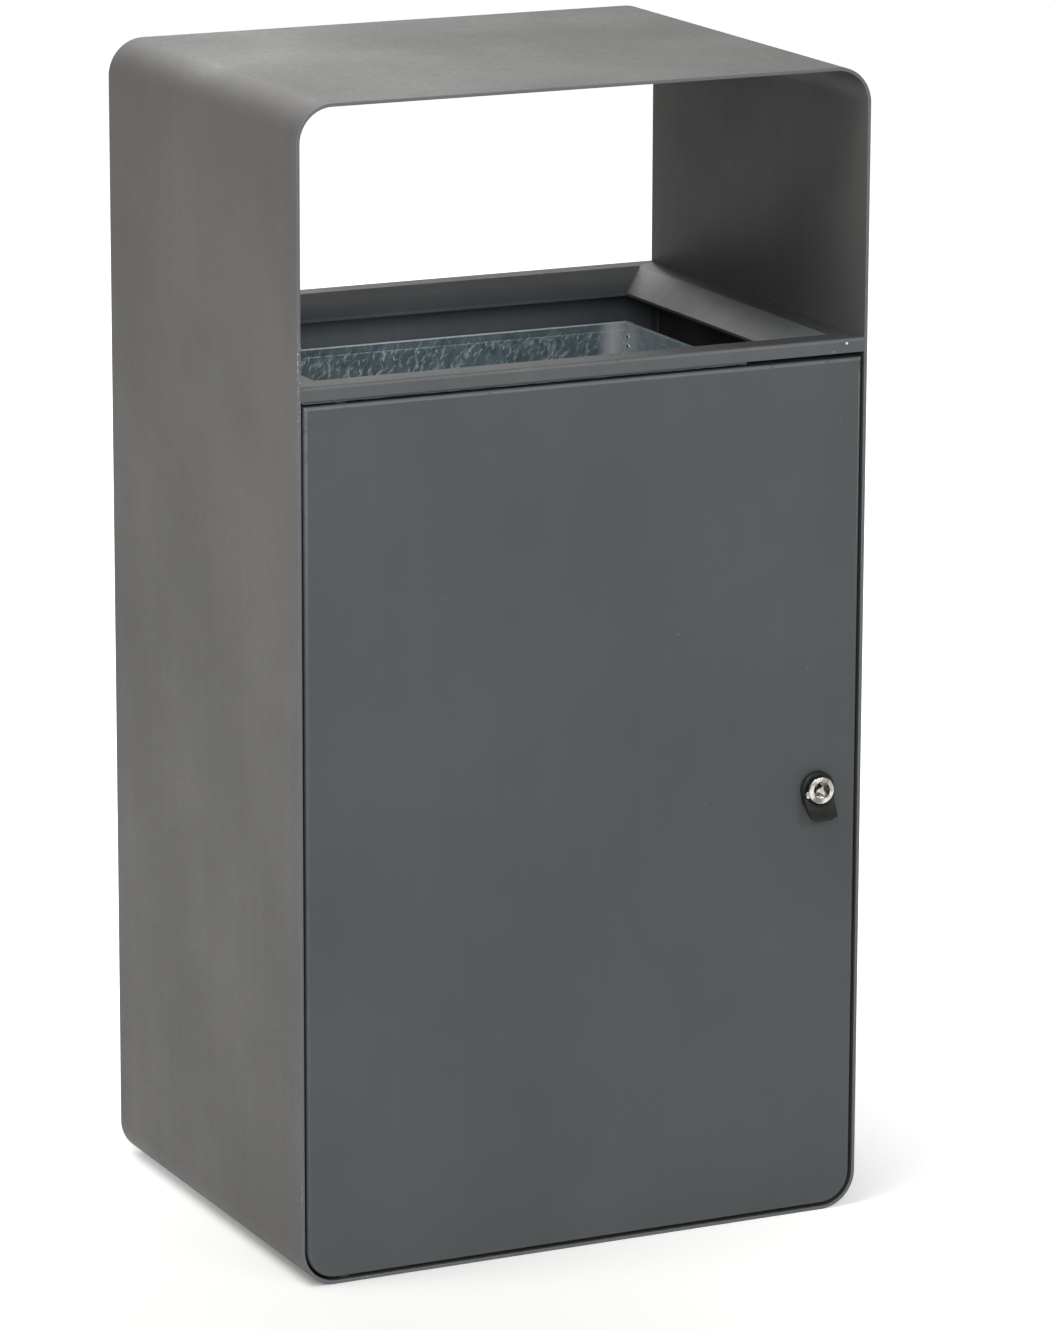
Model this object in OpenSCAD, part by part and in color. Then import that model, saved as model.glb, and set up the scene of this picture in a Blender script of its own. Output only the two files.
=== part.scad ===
// Metal waste bin: a bent steel hoop, a sloped throw-in deck, a lockable front door on two
// concealed pivots, and a galvanised liner that stands on a shelf inside.
// Millimetres. +X is right, +Y is back, +Z is up. The origin is on the floor, at the hoop's centre.

/* [Hoop] */
// Outer width of the hoop, left to right
hoop_w = 525; // [460:5:600]
// Depth of the hoop, front to back
hoop_d = 400; // [370:5:480]
// Height of the hoop
hoop_h = 1000; // [900:10:1200]
// Thickness of the hoop's steel
hoop_t = 3; // [2:0.5:4]
// Outer radius of the hoop's four bends
hoop_r = 32; // [30:1:35]
// Diameter of a floor anchor hole
anchor_d = 12; // [8:1:14]
// Distance between anchor holes, left to right
anchor_span_x = 360; // [300:10:380]
// Distance between anchor holes, front to back
anchor_span_y = 220; // [160:10:230]

/* [Throw-in deck] */
// Height of the deck's flat rim above the floor
deck_z = 769; // [700:1:840]
// Thickness of the deck's sheet
deck_t = 2; // [1.5:0.25:2.5]
// Width of the flat rim at the sides and the back
rim_w = 22; // [16:1:28]
// Width of the flat rim at the front
rim_front = 24; // [22:1:28]
// Run of the side and rear slopes, seen from above
slope_run = 27; // [18:1:30]
// Run of the front slope, seen from above
slope_run_front = 35; // [30:1:40]
// Drop of the slopes from the rim to the throat
slope_drop = 18; // [8:1:22]
// Height of the front rail and of the side flanges
rail_h = 12; // [10:0.5:16]
// Height of the apron that hangs down at the back
apron_h = 25; // [20:1:40]
// Outer radius of the deck's folds
deck_fold_r = 2.6; // [2.6:0.1:3.5]

/* [Rear panel] */
// Thickness of the rear panel's sheet
panel_t = 2; // [1.5:0.25:2.5]
// Depth of the rear panel's returns
panel_return = 15; // [10:1:18]
// Number of rivets that hold the apron to the rear panel
apron_rivets = 5; // [3:1:9]
// Distance from the last apron rivet to the hoop's wall
apron_rivet_inset = 34; // [25:1:60]

/* [Door] */
// Thickness of the door's sheet
door_t = 2; // [1.5:0.25:2.5]
// Gap between the door and the hoop, at the sides and the bottom
door_gap = 2.4; // [2:0.1:3.5]
// Gap between the door and the front rail
door_top_gap = 4.5; // [3.5:0.5:8]
// Depth of the door's folded returns
door_return = 18; // [16:0.5:20]
// Outer radius of the door's folded edges
door_fold_r = 3; // [2.6:0.1:4]
// Width of the stiffener's raised middle
stiffener_w = 60; // [40:5:90]
// Height of the stiffener's raised middle over the door's sheet
stiffener_h = 13; // [8:0.5:14]
// Width of each of the stiffener's welded feet
stiffener_foot = 15; // [10:1:25]
// Thickness of the stiffener's sheet
stiffener_t = 1.5; // [1:0.25:2]
// Distance from the stiffener's ends to the door's ends
stiffener_end = 45; // [30:5:90]

/* [Pivots] */
// Distance from the hoop's left inner wall to the pivot axis
pivot_inset = 37; // [37:0.5:42]
// Distance from the door's face back to the pivot axis
pivot_setback = 9; // [9:0.25:10]
// Diameter of the pivot pins
pin_d = 8; // [6:0.5:9]
// Reach of each pin past the inside of its bush
pin_tip = 6; // [3:0.5:12]
// Wall thickness of the plastic bushes
bush_wall = 1.5; // [1:0.25:1.5]
// Width of the bushes' flanges past their bodies
bush_flange = 1.5; // [1:0.25:1.5]
// Thickness of the bushes' flanges
bush_flange_t = 1.5; // [1:0.1:1.6]
// Length of the pivot plates inside the door
plate_l = 68; // [50:1:100]
// Width of the pivot plates
plate_w = 13; // [13:0.5:13.5]
// Thickness of the pivot plates
plate_t = 4; // [3:0.5:6]
// Length of the block that holds the top pin
block_l = 40; // [30:1:60]
// Height of the block that holds the top pin
block_h = 6; // [4:0.5:6]

/* [Door stop] */
// Width of the stop's front leg, which the door closes on and the cam hooks behind
stop_w = 16.5; // [14:0.5:20]
// Depth of the stop's leg along the hoop's wall
stop_d = 30; // [20:1:40]
// Thickness of the stop's steel
stop_t = 2; // [1.5:0.25:2.5]
// Height of the stop's lower end
stop_low = 60; // [40:5:120]
// Distance from the stop's upper end to the door's top
stop_high_gap = 50; // [30:5:120]
// Thickness of the rubber buffers
buffer_t = 2.2; // [1.5:0.1:3]
// Length of a rubber buffer
buffer_l = 60; // [30:5:100]

/* [Lock] */
// Distance from the hoop's right inner wall to the lock's axis
lock_inset = 40; // [38:0.5:46]
// Height of the lock's axis above the floor
lock_z = 380; // [250:1:500]
// Diameter of the finger pull's round collar
pull_d = 31; // [30:0.5:36]
// Height of the collar over the door
collar_h = 5; // [5:0.5:6]
// Height of the pull's lip over the door
lip_out = 18; // [16:0.5:20]
// Distance from the lock's axis down to the end of the lip
lip_drop = 26; // [25:0.5:30]
// Width of the lip's end
lip_w = 26; // [22:0.5:27]
// Thickness of the lip
lip_t = 4; // [3:0.25:4.5]
// Distance from the barrel down to the root of the lip's under side
under_cut = 3; // [2:0.25:4]
// Distance from the lock's axis down to where the lip's hollow front starts
flare_start = 4.5; // [4:0.5:7]
// Radius of the lip's hollow front
flare_r = 38; // [34:1:60]
// Diameter of the lock's chrome head
head_d = 24; // [23.5:0.5:25]
// Height of the chrome head over the collar
head_h = 5; // [4:0.5:6]
// Gap round the chrome head in its seat
head_gap = 1; // [0.5:0.1:1.2]
// Reach of the head's pointer past its rim
pointer_l = 2.4; // [1.5:0.1:3]
// Diameter of the lock's barrel
barrel_d = 19; // [18:0.25:20]
// Diameter of the socket, and of the turning insert's flange
insert_d = 15.5; // [14:0.25:15.5]
// Thickness of the insert's flange
insert_flange_t = 2; // [1.5:0.25:3]
// Diameter of the insert behind its flange
insert_shaft_d = 13; // [12:0.25:13]
// Depth of the socket round the triangular key post
socket_depth = 8; // [6:0.5:9]
// Distance from the post's centre to one of its three corners
post_r = 4.8; // [3.5:0.1:5.5]
// Width of the nut across its flats
nut_af = 27; // [25:0.5:28]
// Thickness of the nut
nut_t = 5; // [4:0.5:6]
// Distance from the lock's axis to the tip of the cam
cam_reach = 36; // [34:0.5:37]
// Width of the cam's tip
cam_tip_w = 16; // [12:0.5:18]
// Thickness of the cam
cam_t = 3; // [2:0.25:4]
// Side of the insert's square end
square_s = 8; // [7:0.25:9]

/* [Liner] */
// Thickness of the liner's galvanised sheet
liner_t = 1; // [0.75:0.25:1.5]
// Gap between the liner and the hoop's walls
liner_side_gap = 36.5; // [34:0.5:45]
// Gap between the liner and the rear panel
liner_rear_gap = 22; // [18:0.5:30]
// Gap between the liner's top edge and the deck's throat
liner_top_gap = 28; // [20:0.5:60]
// Height of the hem at the liner's top edge
hem_h = 8; // [5:0.5:10]
// Outer radius of the liner's front corners
liner_r = 6; // [3:0.5:10]
// Width of the laps and of the floor's flanges
lap_w = 14; // [12:0.5:20]
// Distance from the liner's top edge to the first rivet
rivet_top = 13.3; // [13:0.1:20]
// Distance between the two rivets at the top of a seam
rivet_pair = 9; // [8:0.5:20]
// Number of further rivets down each seam
seam_rivets = 5; // [2:1:8]
// Diameter of the blind rivets' heads
rivet_d = 6.4; // [5:0.2:7]
// Diameter of the drain holes in the liner's floor
drain_d = 8; // [5:0.5:12]
// Width of the liner's handle
handle_w = 120; // [100:5:160]
// Distance from the liner's front wall to the handle's grip
handle_out = 20; // [16:0.5:22]
// Height of the handle's strap
handle_h = 24; // [18:1:30]
// Thickness of the handle's strap
handle_t = 2; // [1.5:0.25:3]
// Height of the handle's middle above the floor
handle_z = 560; // [400:10:640]

/* [Liner shelf] */
// Height of the shelf's top above the floor
shelf_z = 40; // [30:1:60]
// Thickness of the shelf's sheet
shelf_t = 2; // [1.5:0.25:3]
// Width of the shelf's feet
shelf_foot = 20; // [12:1:25]
// Height of the lip that keeps the liner on the shelf
shelf_lip = 10; // [6:0.5:12]
// Diameter of the holes over the anchor holes
access_d = 30; // [24:1:40]

/* [Clearances] */
// Radial running gap between a pin or the insert and its bore
run_gap = 0.05; // [0.02:0.01:0.09]
// Radial gap between a fixed round piece and its hole
seat_gap = 0.05; // [0.02:0.01:0.15]
// Axial gap between pieces that turn on each other
axial_gap = 0.2; // [0.1:0.05:0.3]
// Gap between the rear panel and the hoop
panel_gap = 0.2; // [0.1:0.05:0.3]
// Gap between the door's swing and the shelf's lip
swing_gap = 5; // [3:0.5:10]
// Gap between the shelf's feet and the start of the hoop's lower bends
shelf_side_gap = 2.5; // [1:0.5:10]
// Gap between the shelf's rear edge and the rear panel's returns
shelf_rear_gap = 3; // [1:0.5:10]
// Gap between the liner and the shelf's lip
liner_play = 2; // [1:0.25:4]
// Gap between the liner's floor and the shelf
liner_seat_gap = 0.2; // [0.1:0.05:0.3]
// Gap between the buffers and the closed door
buffer_gap = 0.3; // [0.2:0.05:0.3]
// Gap between the cam and the stop that it hooks behind
cam_gap = 1; // [0.6:0.1:1.5]

/* [Hidden] */
$fn = 64;
// Length by which cutting shapes run past what they cut
past = 1;
// A length larger than any part of the bin, for half-space cuts
beyond = 2000;

// Colours as photographed
coat_grey = [0.33, 0.34, 0.34];
hoop_grey = [0.40, 0.39, 0.37];
zinc = [0.55, 0.62, 0.64];
chrome = [0.80, 0.79, 0.75];
bright_steel = [0.62, 0.63, 0.65];
black_plastic = [0.07, 0.07, 0.07];
bush_black = [0.10, 0.10, 0.10];

// Planes of the hoop
front_y = -hoop_d / 2;
rear_y = hoop_d / 2;
wall_x = hoop_w / 2 - hoop_t;
bend_x = hoop_w / 2 - hoop_r;
inner_r = hoop_r - hoop_t;

// Edges of the deck's rim and throat
rim_x = wall_x - rim_w;
rim_front_y = front_y + rim_front;
rim_rear_y = rear_y - rim_w;
throat_x = rim_x - slope_run;
throat_front_y = rim_front_y + slope_run_front;
throat_rear_y = rim_rear_y - slope_run;
rail_z = deck_z - rail_h;
throat_z = deck_z - slope_drop - deck_t;

// The rear panel hangs inside the apron and ends just under the side flanges
panel_y = rear_y - deck_t;
panel_top = rail_z - past;

// Door outline, concentric with the hoop's lower bends
door_x = wall_x - door_gap;
door_low = hoop_t + door_gap;
door_top = rail_z - door_top_gap;
door_r = inner_r - door_gap;
door_inside_y = front_y + door_t;

// Pivot axis, and the radius that the door's left edge sweeps inside the hoop
pivot_x = pivot_inset - wall_x;
pivot_y = front_y + pivot_setback;
pin_r = pin_d / 2;
bush_r = pin_r + run_gap + bush_wall;
flange_r = bush_r + bush_flange;
swing_r = norm([pivot_inset - door_gap, max(pivot_setback, door_return - pivot_setback)]);
bush_l = door_t + plate_t;

// Door stop, behind the door's right return
stop_y = front_y + door_return + buffer_t + buffer_gap;
stop_x = wall_x - stop_w;

// Lock stack along Y, from the face of the door backwards
lock_x = wall_x - lock_inset;
cam_y = stop_y + stop_t + cam_gap;
barrel_r = barrel_d / 2;
insert_r = insert_d / 2;
shaft_r = insert_shaft_d / 2;
head_front = collar_h + head_h;
socket_floor = head_front - socket_depth;
seat_floor = collar_h - past;
washer_t = 1;
screw_r = 3;
screw_l = 13;
cam_hub_wall = 3;

// Shelf and liner
shelf_x = bend_x - shelf_side_gap;
shelf_front_y = pivot_y + swing_r + swing_gap;
shelf_rear_y = panel_y - panel_return - shelf_rear_gap;
liner_x = wall_x - liner_side_gap;
liner_front_y = shelf_front_y + shelf_t + liner_play;
liner_rear_y = panel_y - panel_t - liner_rear_gap;
liner_low = shelf_z + liner_seat_gap;
liner_top = throat_z - liner_top_gap;
side_inner_x = liner_x - 2 * liner_t;

// Rectangle with four round corners, centred on x, standing on y = 0
module round_rect(w, h, r) {
    translate([r - w / 2, 0])
        square([w - 2 * r, h]);
    translate([-w / 2, r])
        square([w, h - 2 * r]);
    for (x = [r - w / 2, w / 2 - r], y = [r, h - r])
        translate([x, y])
            circle(r = r);
}

// Rectangle with only its two lower corners round
module bucket_shape(w, h, r) {
    translate([-w / 2, r])
        square([w, h - r]);
    translate([r - w / 2, 0])
        square([w - 2 * r, h]);
    for (x = [r - w / 2, w / 2 - r])
        translate([x, r])
            circle(r = r);
}

// Extrudes a shape drawn in x and z from y0 back to y1
module along_y(y0, y1) {
    translate([0, y1, 0])
        rotate([90, 0, 0])
            linear_extrude(y1 - y0)
                children();
}

// Extrudes a shape drawn in y and z from x0 to x1
module along_x(x0, x1) {
    translate([x0, 0, 0])
        rotate([90, 0, 90])
            linear_extrude(x1 - x0)
                children();
}

// Section of a folded edge: a face along u, a return along v, and the bend between them
module fold_section(u, v, t, r) {
    translate([r, 0])
        square([u - r, t]);
    translate([0, r])
        square([t, v - r]);
    bend_section(t, r);
}

// Section of the bend alone
module bend_section(t, r) {
    difference() {
        intersection() {
            translate([r, r])
                circle(r = r);
            square([r, r]);
        }
        translate([r, r])
            circle(r = r - t);
    }
}

// Section of a bend with a thin tongue at each end, to root it in the sheets that it joins
module rooted_bend(t, r) {
    bend_section(t, r);
    translate([r - past, t / 4])
        square([2 * past, t / 2]);
    translate([t / 4, r - past])
        square([t / 2, 2 * past]);
}

// Plan of a box whose two front edges are folded, drawn at a distance in from its outside
module folded_plan(w, depth, r, inset) {
    half = w / 2 - r;
    translate([-half, inset])
        square([2 * half, depth - inset]);
    translate([inset - w / 2, r])
        square([w - 2 * inset, depth - r]);
    for (x = [-half, half])
        translate([x, r])
            circle(r = r - inset);
}

// Side view of a box from z0 up to h whose upper front edge is folded, drawn in y and z
module folded_profile(h, z0, depth, r, inset) {
    translate([r, z0])
        square([depth - r, h - inset - z0]);
    translate([inset, z0])
        square([r - inset + past / 2, h - r - z0]);
    translate([r, h - r])
        circle(r = r - inset);
}

// Upper part of a folded box, from z0 up: a solid, drawn at a distance in from its outside
module folded_block(w, h, z0, depth, r, inset) {
    intersection() {
        translate([0, 0, z0])
            linear_extrude(h - z0)
                folded_plan(w, depth, r, inset);
        along_x(-w / 2, w / 2)
            folded_profile(h, z0, depth, r, inset);
    }
}

// Sheet pan that faces -y with its face on y = 0 and its returns going back.
// Its lower corners are bent round, its upper corners are mitred.
module folded_pan(w, h, r, t, depth, fold) {
    // Upper part, with its three folds
    difference() {
        folded_block(w, h, r, depth, fold, 0);
        folded_block(w, h, r - past, depth + past, fold, t);
    }
    // Lower part of the face, inside the folds
    along_y(0, t)
        intersection() {
            translate([0, fold])
                bucket_shape(w - 2 * fold, 2 * r, r - fold);
            square([w, 2 * (r + past)], center = true);
        }
    // Lower part of the returns, behind the folds
    along_y(fold, depth)
        intersection() {
            difference() {
                bucket_shape(w, 2 * r, r);
                translate([0, t])
                    bucket_shape(w - 2 * t, 2 * r, r - t);
            }
            square([w, 2 * (r + past)], center = true);
        }
    // Folds round the lower corners
    for (side = [0, 1])
        mirror([side, 0, 0])
            translate([r - w / 2, 0, r])
                rotate([-90, 0, 0])
                    rotate([0, 0, 90])
                        rotate_extrude(angle = 90)
                            translate([r, 0])
                                mirror([1, 0])
                                    rooted_bend(t, fold);
    // Lower fold
    along_x(r - w / 2, w / 2 - r)
        mirror([1, -1])
            rooted_bend(t, fold);
}

// Blind rivet along +z: head below z = 0, shank through the grip, and the set end beyond it.
module blind_rivet(grip) {
    head_r = rivet_d / 2;
    head_t = rivet_d / 6;
    shank_r = rivet_d / 4;
    set_r = rivet_d / 3;
    mandrel_r = rivet_d / 8;
    rotate_extrude()
        polygon([[0, -head_t / 3], [mandrel_r, -head_t / 3], [mandrel_r, -head_t], [head_r - head_t, -head_t],
            [head_r, 0], [shank_r, 0], [shank_r, grip], [set_r, grip], [set_r, grip + head_t],
            [mandrel_r, grip + 2 * head_t], [0, grip + 2 * head_t]]);
}

// Places a piece drawn along +z so that it runs back along +y from the door's face at the lock
module at_lock() {
    translate([lock_x, front_y, lock_z])
        rotate([-90, 0, 0])
            children();
}

module outer_hoop() {
    color(hoop_grey)
        difference() {
            along_y(front_y, rear_y)
                round_rect(hoop_w, hoop_h, hoop_r);
            along_y(front_y - past, rear_y + past)
                translate([0, hoop_t])
                    round_rect(hoop_w - 2 * hoop_t, hoop_h - 2 * hoop_t, inner_r);
            for (x = [-1, 1], y = [-1, 1])
                translate([x * anchor_span_x / 2, y * anchor_span_y / 2, -past])
                    cylinder(d = anchor_d, h = hoop_t + 2 * past);
        }
}

// One slope of the deck, going down from the rim's edge at y = 0 towards -y.
// The plan is the trapezoid that the two mitres cut from it.
module slope(half_rim, half_throat_left, half_throat_right, run) {
    sheet_h = deck_t * norm([run, slope_drop]) / run;
    intersection() {
        along_x(-half_rim, half_rim)
            polygon([[past, 0], [0, 0], [-run, -slope_drop], [-run, -slope_drop - sheet_h],
                [0, -sheet_h], [past, -deck_t]]);
        translate([0, 0, -beyond / 2])
            linear_extrude(beyond)
                polygon([[-half_rim, past], [half_rim, past], [half_rim, 0], [half_throat_right, -run],
                    [-half_throat_left, -run], [-half_rim, 0]]);
    }
}

module funnel_deck() {
    rim_mid_y = (rim_front_y + rim_rear_y) / 2;
    rim_half_y = (rim_rear_y - rim_front_y) / 2;
    color(coat_grey) {
        // Flat rim
        translate([0, 0, deck_z - deck_t])
            linear_extrude(deck_t)
                difference() {
                    translate([-wall_x, front_y + deck_fold_r])
                        square([2 * wall_x, hoop_d - 2 * deck_fold_r]);
                    translate([-rim_x, rim_front_y])
                        square([2 * rim_x, rim_rear_y - rim_front_y]);
                }
        // Front rail and rear apron
        translate([0, front_y, deck_z])
            along_x(-wall_x, wall_x)
                mirror([0, 1])
                    fold_section(deck_fold_r + past, rail_h, deck_t, deck_fold_r);
        difference() {
            translate([0, rear_y, deck_z])
                along_x(-wall_x, wall_x)
                    rotate(180)
                        fold_section(deck_fold_r + past, apron_h, deck_t, deck_fold_r);
            apron_rivet_holes();
        }
        // Side flanges against the hoop's walls
        for (side = [0, 1])
            mirror([side, 0, 0])
                translate([wall_x - deck_t, front_y + deck_fold_r, rail_z])
                    cube([deck_t, hoop_d - 2 * deck_fold_r, rail_h]);
        // Rear, front and side slopes, mitred into each other
        translate([0, rim_rear_y, deck_z])
            slope(rim_x, throat_x, throat_x, slope_run);
        translate([0, rim_front_y, deck_z])
            rotate(180)
                slope(rim_x, throat_x, throat_x, slope_run_front);
        translate([rim_x, rim_mid_y, deck_z])
            rotate(-90)
                slope(rim_half_y, rim_half_y - slope_run, rim_half_y - slope_run_front, slope_run);
        translate([-rim_x, rim_mid_y, deck_z])
            rotate(90)
                slope(rim_half_y, rim_half_y - slope_run_front, rim_half_y - slope_run, slope_run);
    }
}

module rear_panel() {
    color(coat_grey)
        difference() {
            translate([0, panel_y, hoop_t + panel_gap])
                mirror([0, 1, 0])
                    folded_pan(2 * (wall_x - panel_gap), panel_top - hoop_t - panel_gap,
                        inner_r - panel_gap, panel_t, panel_return, deck_fold_r);
            apron_rivet_holes();
        }
}

// Rivet places along the apron: local +z points forward, z = 0 is the apron's outer face
module apron_rivet_places() {
    span = 2 * (wall_x - apron_rivet_inset);
    rivet_z = (panel_top + deck_z - apron_h) / 2;
    for (i = [0 : apron_rivets - 1])
        translate([span * (i / (apron_rivets - 1) - 0.5), rear_y, rivet_z])
            rotate([90, 0, 0])
                children();
}

module apron_rivet_holes() {
    apron_rivet_places()
        translate([0, 0, -past])
            cylinder(r = rivet_d / 4 + seat_gap, h = panel_t + deck_t + 2 * past);
}

module apron_rivet_row() {
    color(coat_grey)
        apron_rivet_places()
            blind_rivet(deck_t + panel_t);
}

module liner_shelf() {
    color(zinc)
        difference() {
            union() {
                along_y(shelf_front_y, shelf_rear_y) {
                    translate([-shelf_x, shelf_z - shelf_t])
                        square([2 * shelf_x, shelf_t]);
                    for (side = [0, 1])
                        mirror([side, 0]) {
                            translate([shelf_x - shelf_t, hoop_t])
                                square([shelf_t, shelf_z - hoop_t]);
                            translate([shelf_x - shelf_foot, hoop_t])
                                square([shelf_foot, shelf_t]);
                        }
                }
                // Lip at the front edge
                translate([-liner_x, shelf_front_y, shelf_z - past])
                    cube([2 * liner_x, shelf_t, shelf_lip + past]);
            }
            for (x = [-1, 1], y = [-1, 1])
                translate([x * anchor_span_x / 2, y * anchor_span_y / 2, shelf_z - shelf_t - past])
                    cylinder(d = access_d, h = shelf_t + 2 * past);
        }
}

// Radius of the shoulder on each pivot pin
shoulder_r = pin_r + 2;

module top_pivot_block() {
    color(bright_steel)
        difference() {
            translate([pivot_x - block_l / 2, front_y + deck_fold_r, deck_z - deck_t - block_h])
                cube([block_l, rim_front - deck_fold_r - past, block_h]);
            translate([pivot_x, pivot_y, deck_z - deck_t - block_h - past])
                cylinder(r = pin_r + seat_gap, h = block_h + 2 * past);
        }
}

module top_pivot_pin() {
    low = door_top - bush_l - pin_tip;
    high = deck_z - deck_t;
    shoulder_low = door_top + bush_flange_t + axial_gap;
    shoulder_high = high - block_h;
    color(coat_grey)
        translate([pivot_x, pivot_y, 0]) {
            translate([0, 0, low + past])
                cylinder(r = pin_r, h = high - low - past);
            translate([0, 0, low])
                cylinder(r1 = pin_r - past, r2 = pin_r, h = past);
            translate([0, 0, shoulder_low])
                cylinder(r = shoulder_r, h = shoulder_high - shoulder_low);
        }
}

module bottom_pivot_pin() {
    high = door_low + bush_l + pin_tip;
    shoulder_high = door_low - bush_flange_t - axial_gap;
    color(coat_grey)
        translate([pivot_x, pivot_y, 0]) {
            translate([0, 0, hoop_t])
                cylinder(r = pin_r, h = high - past - hoop_t);
            translate([0, 0, high - past])
                cylinder(r1 = pin_r, r2 = pin_r - past, h = past);
            translate([0, 0, hoop_t])
                cylinder(r = shoulder_r, h = shoulder_high - hoop_t);
        }
}

module door_stop() {
    color(coat_grey)
        translate([0, 0, stop_low])
            linear_extrude(door_top - stop_high_gap - stop_low) {
                translate([stop_x, stop_y])
                    square([stop_w, stop_t]);
                translate([wall_x - stop_t, stop_y])
                    square([stop_t, stop_d]);
            }
}

module door_buffers() {
    // The buffers stand on the stop's front leg, in line with the door's return
    buffer_w = stop_w - stop_t;
    stop_top = door_top - stop_high_gap;
    color(black_plastic)
        for (z = [stop_low, stop_top - buffer_l])
            translate([stop_x, stop_y - buffer_t, z])
                cube([buffer_w + stop_t, buffer_t, buffer_l]);
}

module door_panel() {
    color(coat_grey)
        difference() {
            translate([0, front_y, door_low])
                folded_pan(2 * door_x, door_top - door_low, door_r, door_t, door_return, door_fold_r);
            at_lock()
                translate([0, 0, -past])
                    cylinder(r = barrel_r + seat_gap, h = door_t + 2 * past);
            for (z = [door_low, door_top - door_t])
                translate([pivot_x, pivot_y, z - past])
                    cylinder(r = bush_r + seat_gap, h = door_t + 2 * past);
        }
}

module door_stiffener() {
    low = door_low + stiffener_end;
    high = door_top - stiffener_end;
    half = stiffener_w / 2;
    color(coat_grey)
        translate([0, door_inside_y, low])
            linear_extrude(high - low) {
                translate([-half, stiffener_h - stiffener_t])
                    square([stiffener_w, stiffener_t]);
                for (side = [0, 1])
                    mirror([side, 0]) {
                        translate([half - stiffener_t, 0])
                            square([stiffener_t, stiffener_h]);
                        translate([half - stiffener_t, 0])
                            square([stiffener_foot + stiffener_t, stiffener_t]);
                    }
            }
}

// Plate welded inside the door's return, with the hole that holds a bush
module pivot_plate(z) {
    color(bright_steel)
        difference() {
            translate([past / 2 - bend_x, front_y + door_fold_r, z])
                cube([plate_l, plate_w, plate_t]);
            translate([pivot_x, pivot_y, z - past])
                cylinder(r = bush_r + seat_gap, h = plate_t + 2 * past);
        }
}

module top_pivot_plate() {
    pivot_plate(door_top - door_t - plate_t);
}

module bottom_pivot_plate() {
    pivot_plate(door_low + door_t);
}

// Flanged bush along +z, its flange below z = 0
module bush() {
    color(bush_black)
        difference() {
            union() {
                cylinder(r = bush_r, h = bush_l);
                translate([0, 0, -bush_flange_t])
                    cylinder(r = flange_r, h = bush_flange_t);
            }
            translate([0, 0, -bush_flange_t - past])
                cylinder(r = pin_r + run_gap, h = bush_l + bush_flange_t + 2 * past);
        }
}

module top_bush() {
    translate([pivot_x, pivot_y, door_top])
        mirror([0, 0, 1])
            bush();
}

module bottom_bush() {
    translate([pivot_x, pivot_y, door_low])
        bush();
}

// Side view of the finger pull's lip: z up, and p outwards from the door's face.
// A hollow arc of radius flare_r leaves the collar's face and runs smoothly into the round nose.
module pull_profile() {
    nose_r = lip_t / 2;
    nose = [lip_out - nose_r, nose_r - lip_drop];
    start = [collar_h, -flare_start];
    dist = norm(nose - start);
    along = (nose - start) / dist;
    across = [-along[1], along[0]];
    foot = (dist * dist + flare_r * flare_r - (flare_r + nose_r) * (flare_r + nose_r)) / (2 * dist);
    centre = start + foot * along + sqrt(flare_r * flare_r - foot * foot) * across;
    a0 = atan2(start[1] - centre[1], start[0] - centre[0]);
    a1 = atan2(nose[1] - centre[1], nose[0] - centre[0]);
    under_z = -barrel_r - under_cut;
    steps = 10;
    polygon(concat(
        [[0, start[1]]],
        [for (i = [0 : steps]) centre + flare_r * [cos(a0 + (a1 - a0) * i / steps), sin(a0 + (a1 - a0) * i / steps)]],
        [for (i = [1 : steps]) nose - nose_r * [cos(a1 + 180 * i / steps), sin(a1 + 180 * i / steps)]],
        [[collar_h / 2, under_z], [0, under_z]]));
}

// Front view of the lip: it starts inside the collar and narrows to its round-cornered end
module lip_outline() {
    collar_r = pull_d / 2;
    corner_r = 2 * lip_t;
    root_z = flare_start - past;
    root_x = sqrt(collar_r * collar_r - root_z * root_z) - past / 2;
    side = [for (i = [0 : 6]) [lip_w / 2 - corner_r + corner_r * cos(i * 15), corner_r - lip_drop - corner_r * sin(i * 15)]];
    polygon(concat([[-root_x, -root_z], [root_x, -root_z]], side,
        [for (i = [6 : -1 : 0]) [-side[i][0], side[i][1]]]));
}

module finger_pull() {
    collar_r = pull_d / 2;
    edge_r = 2;
    color(black_plastic)
        translate([lock_x, front_y, lock_z])
            difference() {
                union() {
                    // Collar with a rounded outer edge
                    rotate([90, 0, 0])
                        rotate_extrude() {
                            square([collar_r - edge_r, collar_h]);
                            square([collar_r, collar_h - edge_r]);
                            translate([collar_r - edge_r, collar_h - edge_r])
                                circle(r = edge_r);
                        }
                    // Lip
                    intersection() {
                        along_x(-pull_d, pull_d)
                            mirror([1, 0])
                                pull_profile();
                        along_y(-lip_out - past, 0)
                            lip_outline();
                    }
                }
                // Seat for the chrome head, and the barrel's hole
                rotate([90, 0, 0])
                    translate([0, 0, seat_floor])
                        cylinder(r = head_d / 2 + head_gap, h = lip_out);
                rotate([90, 0, 0])
                    translate([0, 0, -past])
                        cylinder(r = barrel_r + seat_gap, h = lip_out);
            }
}

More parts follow.
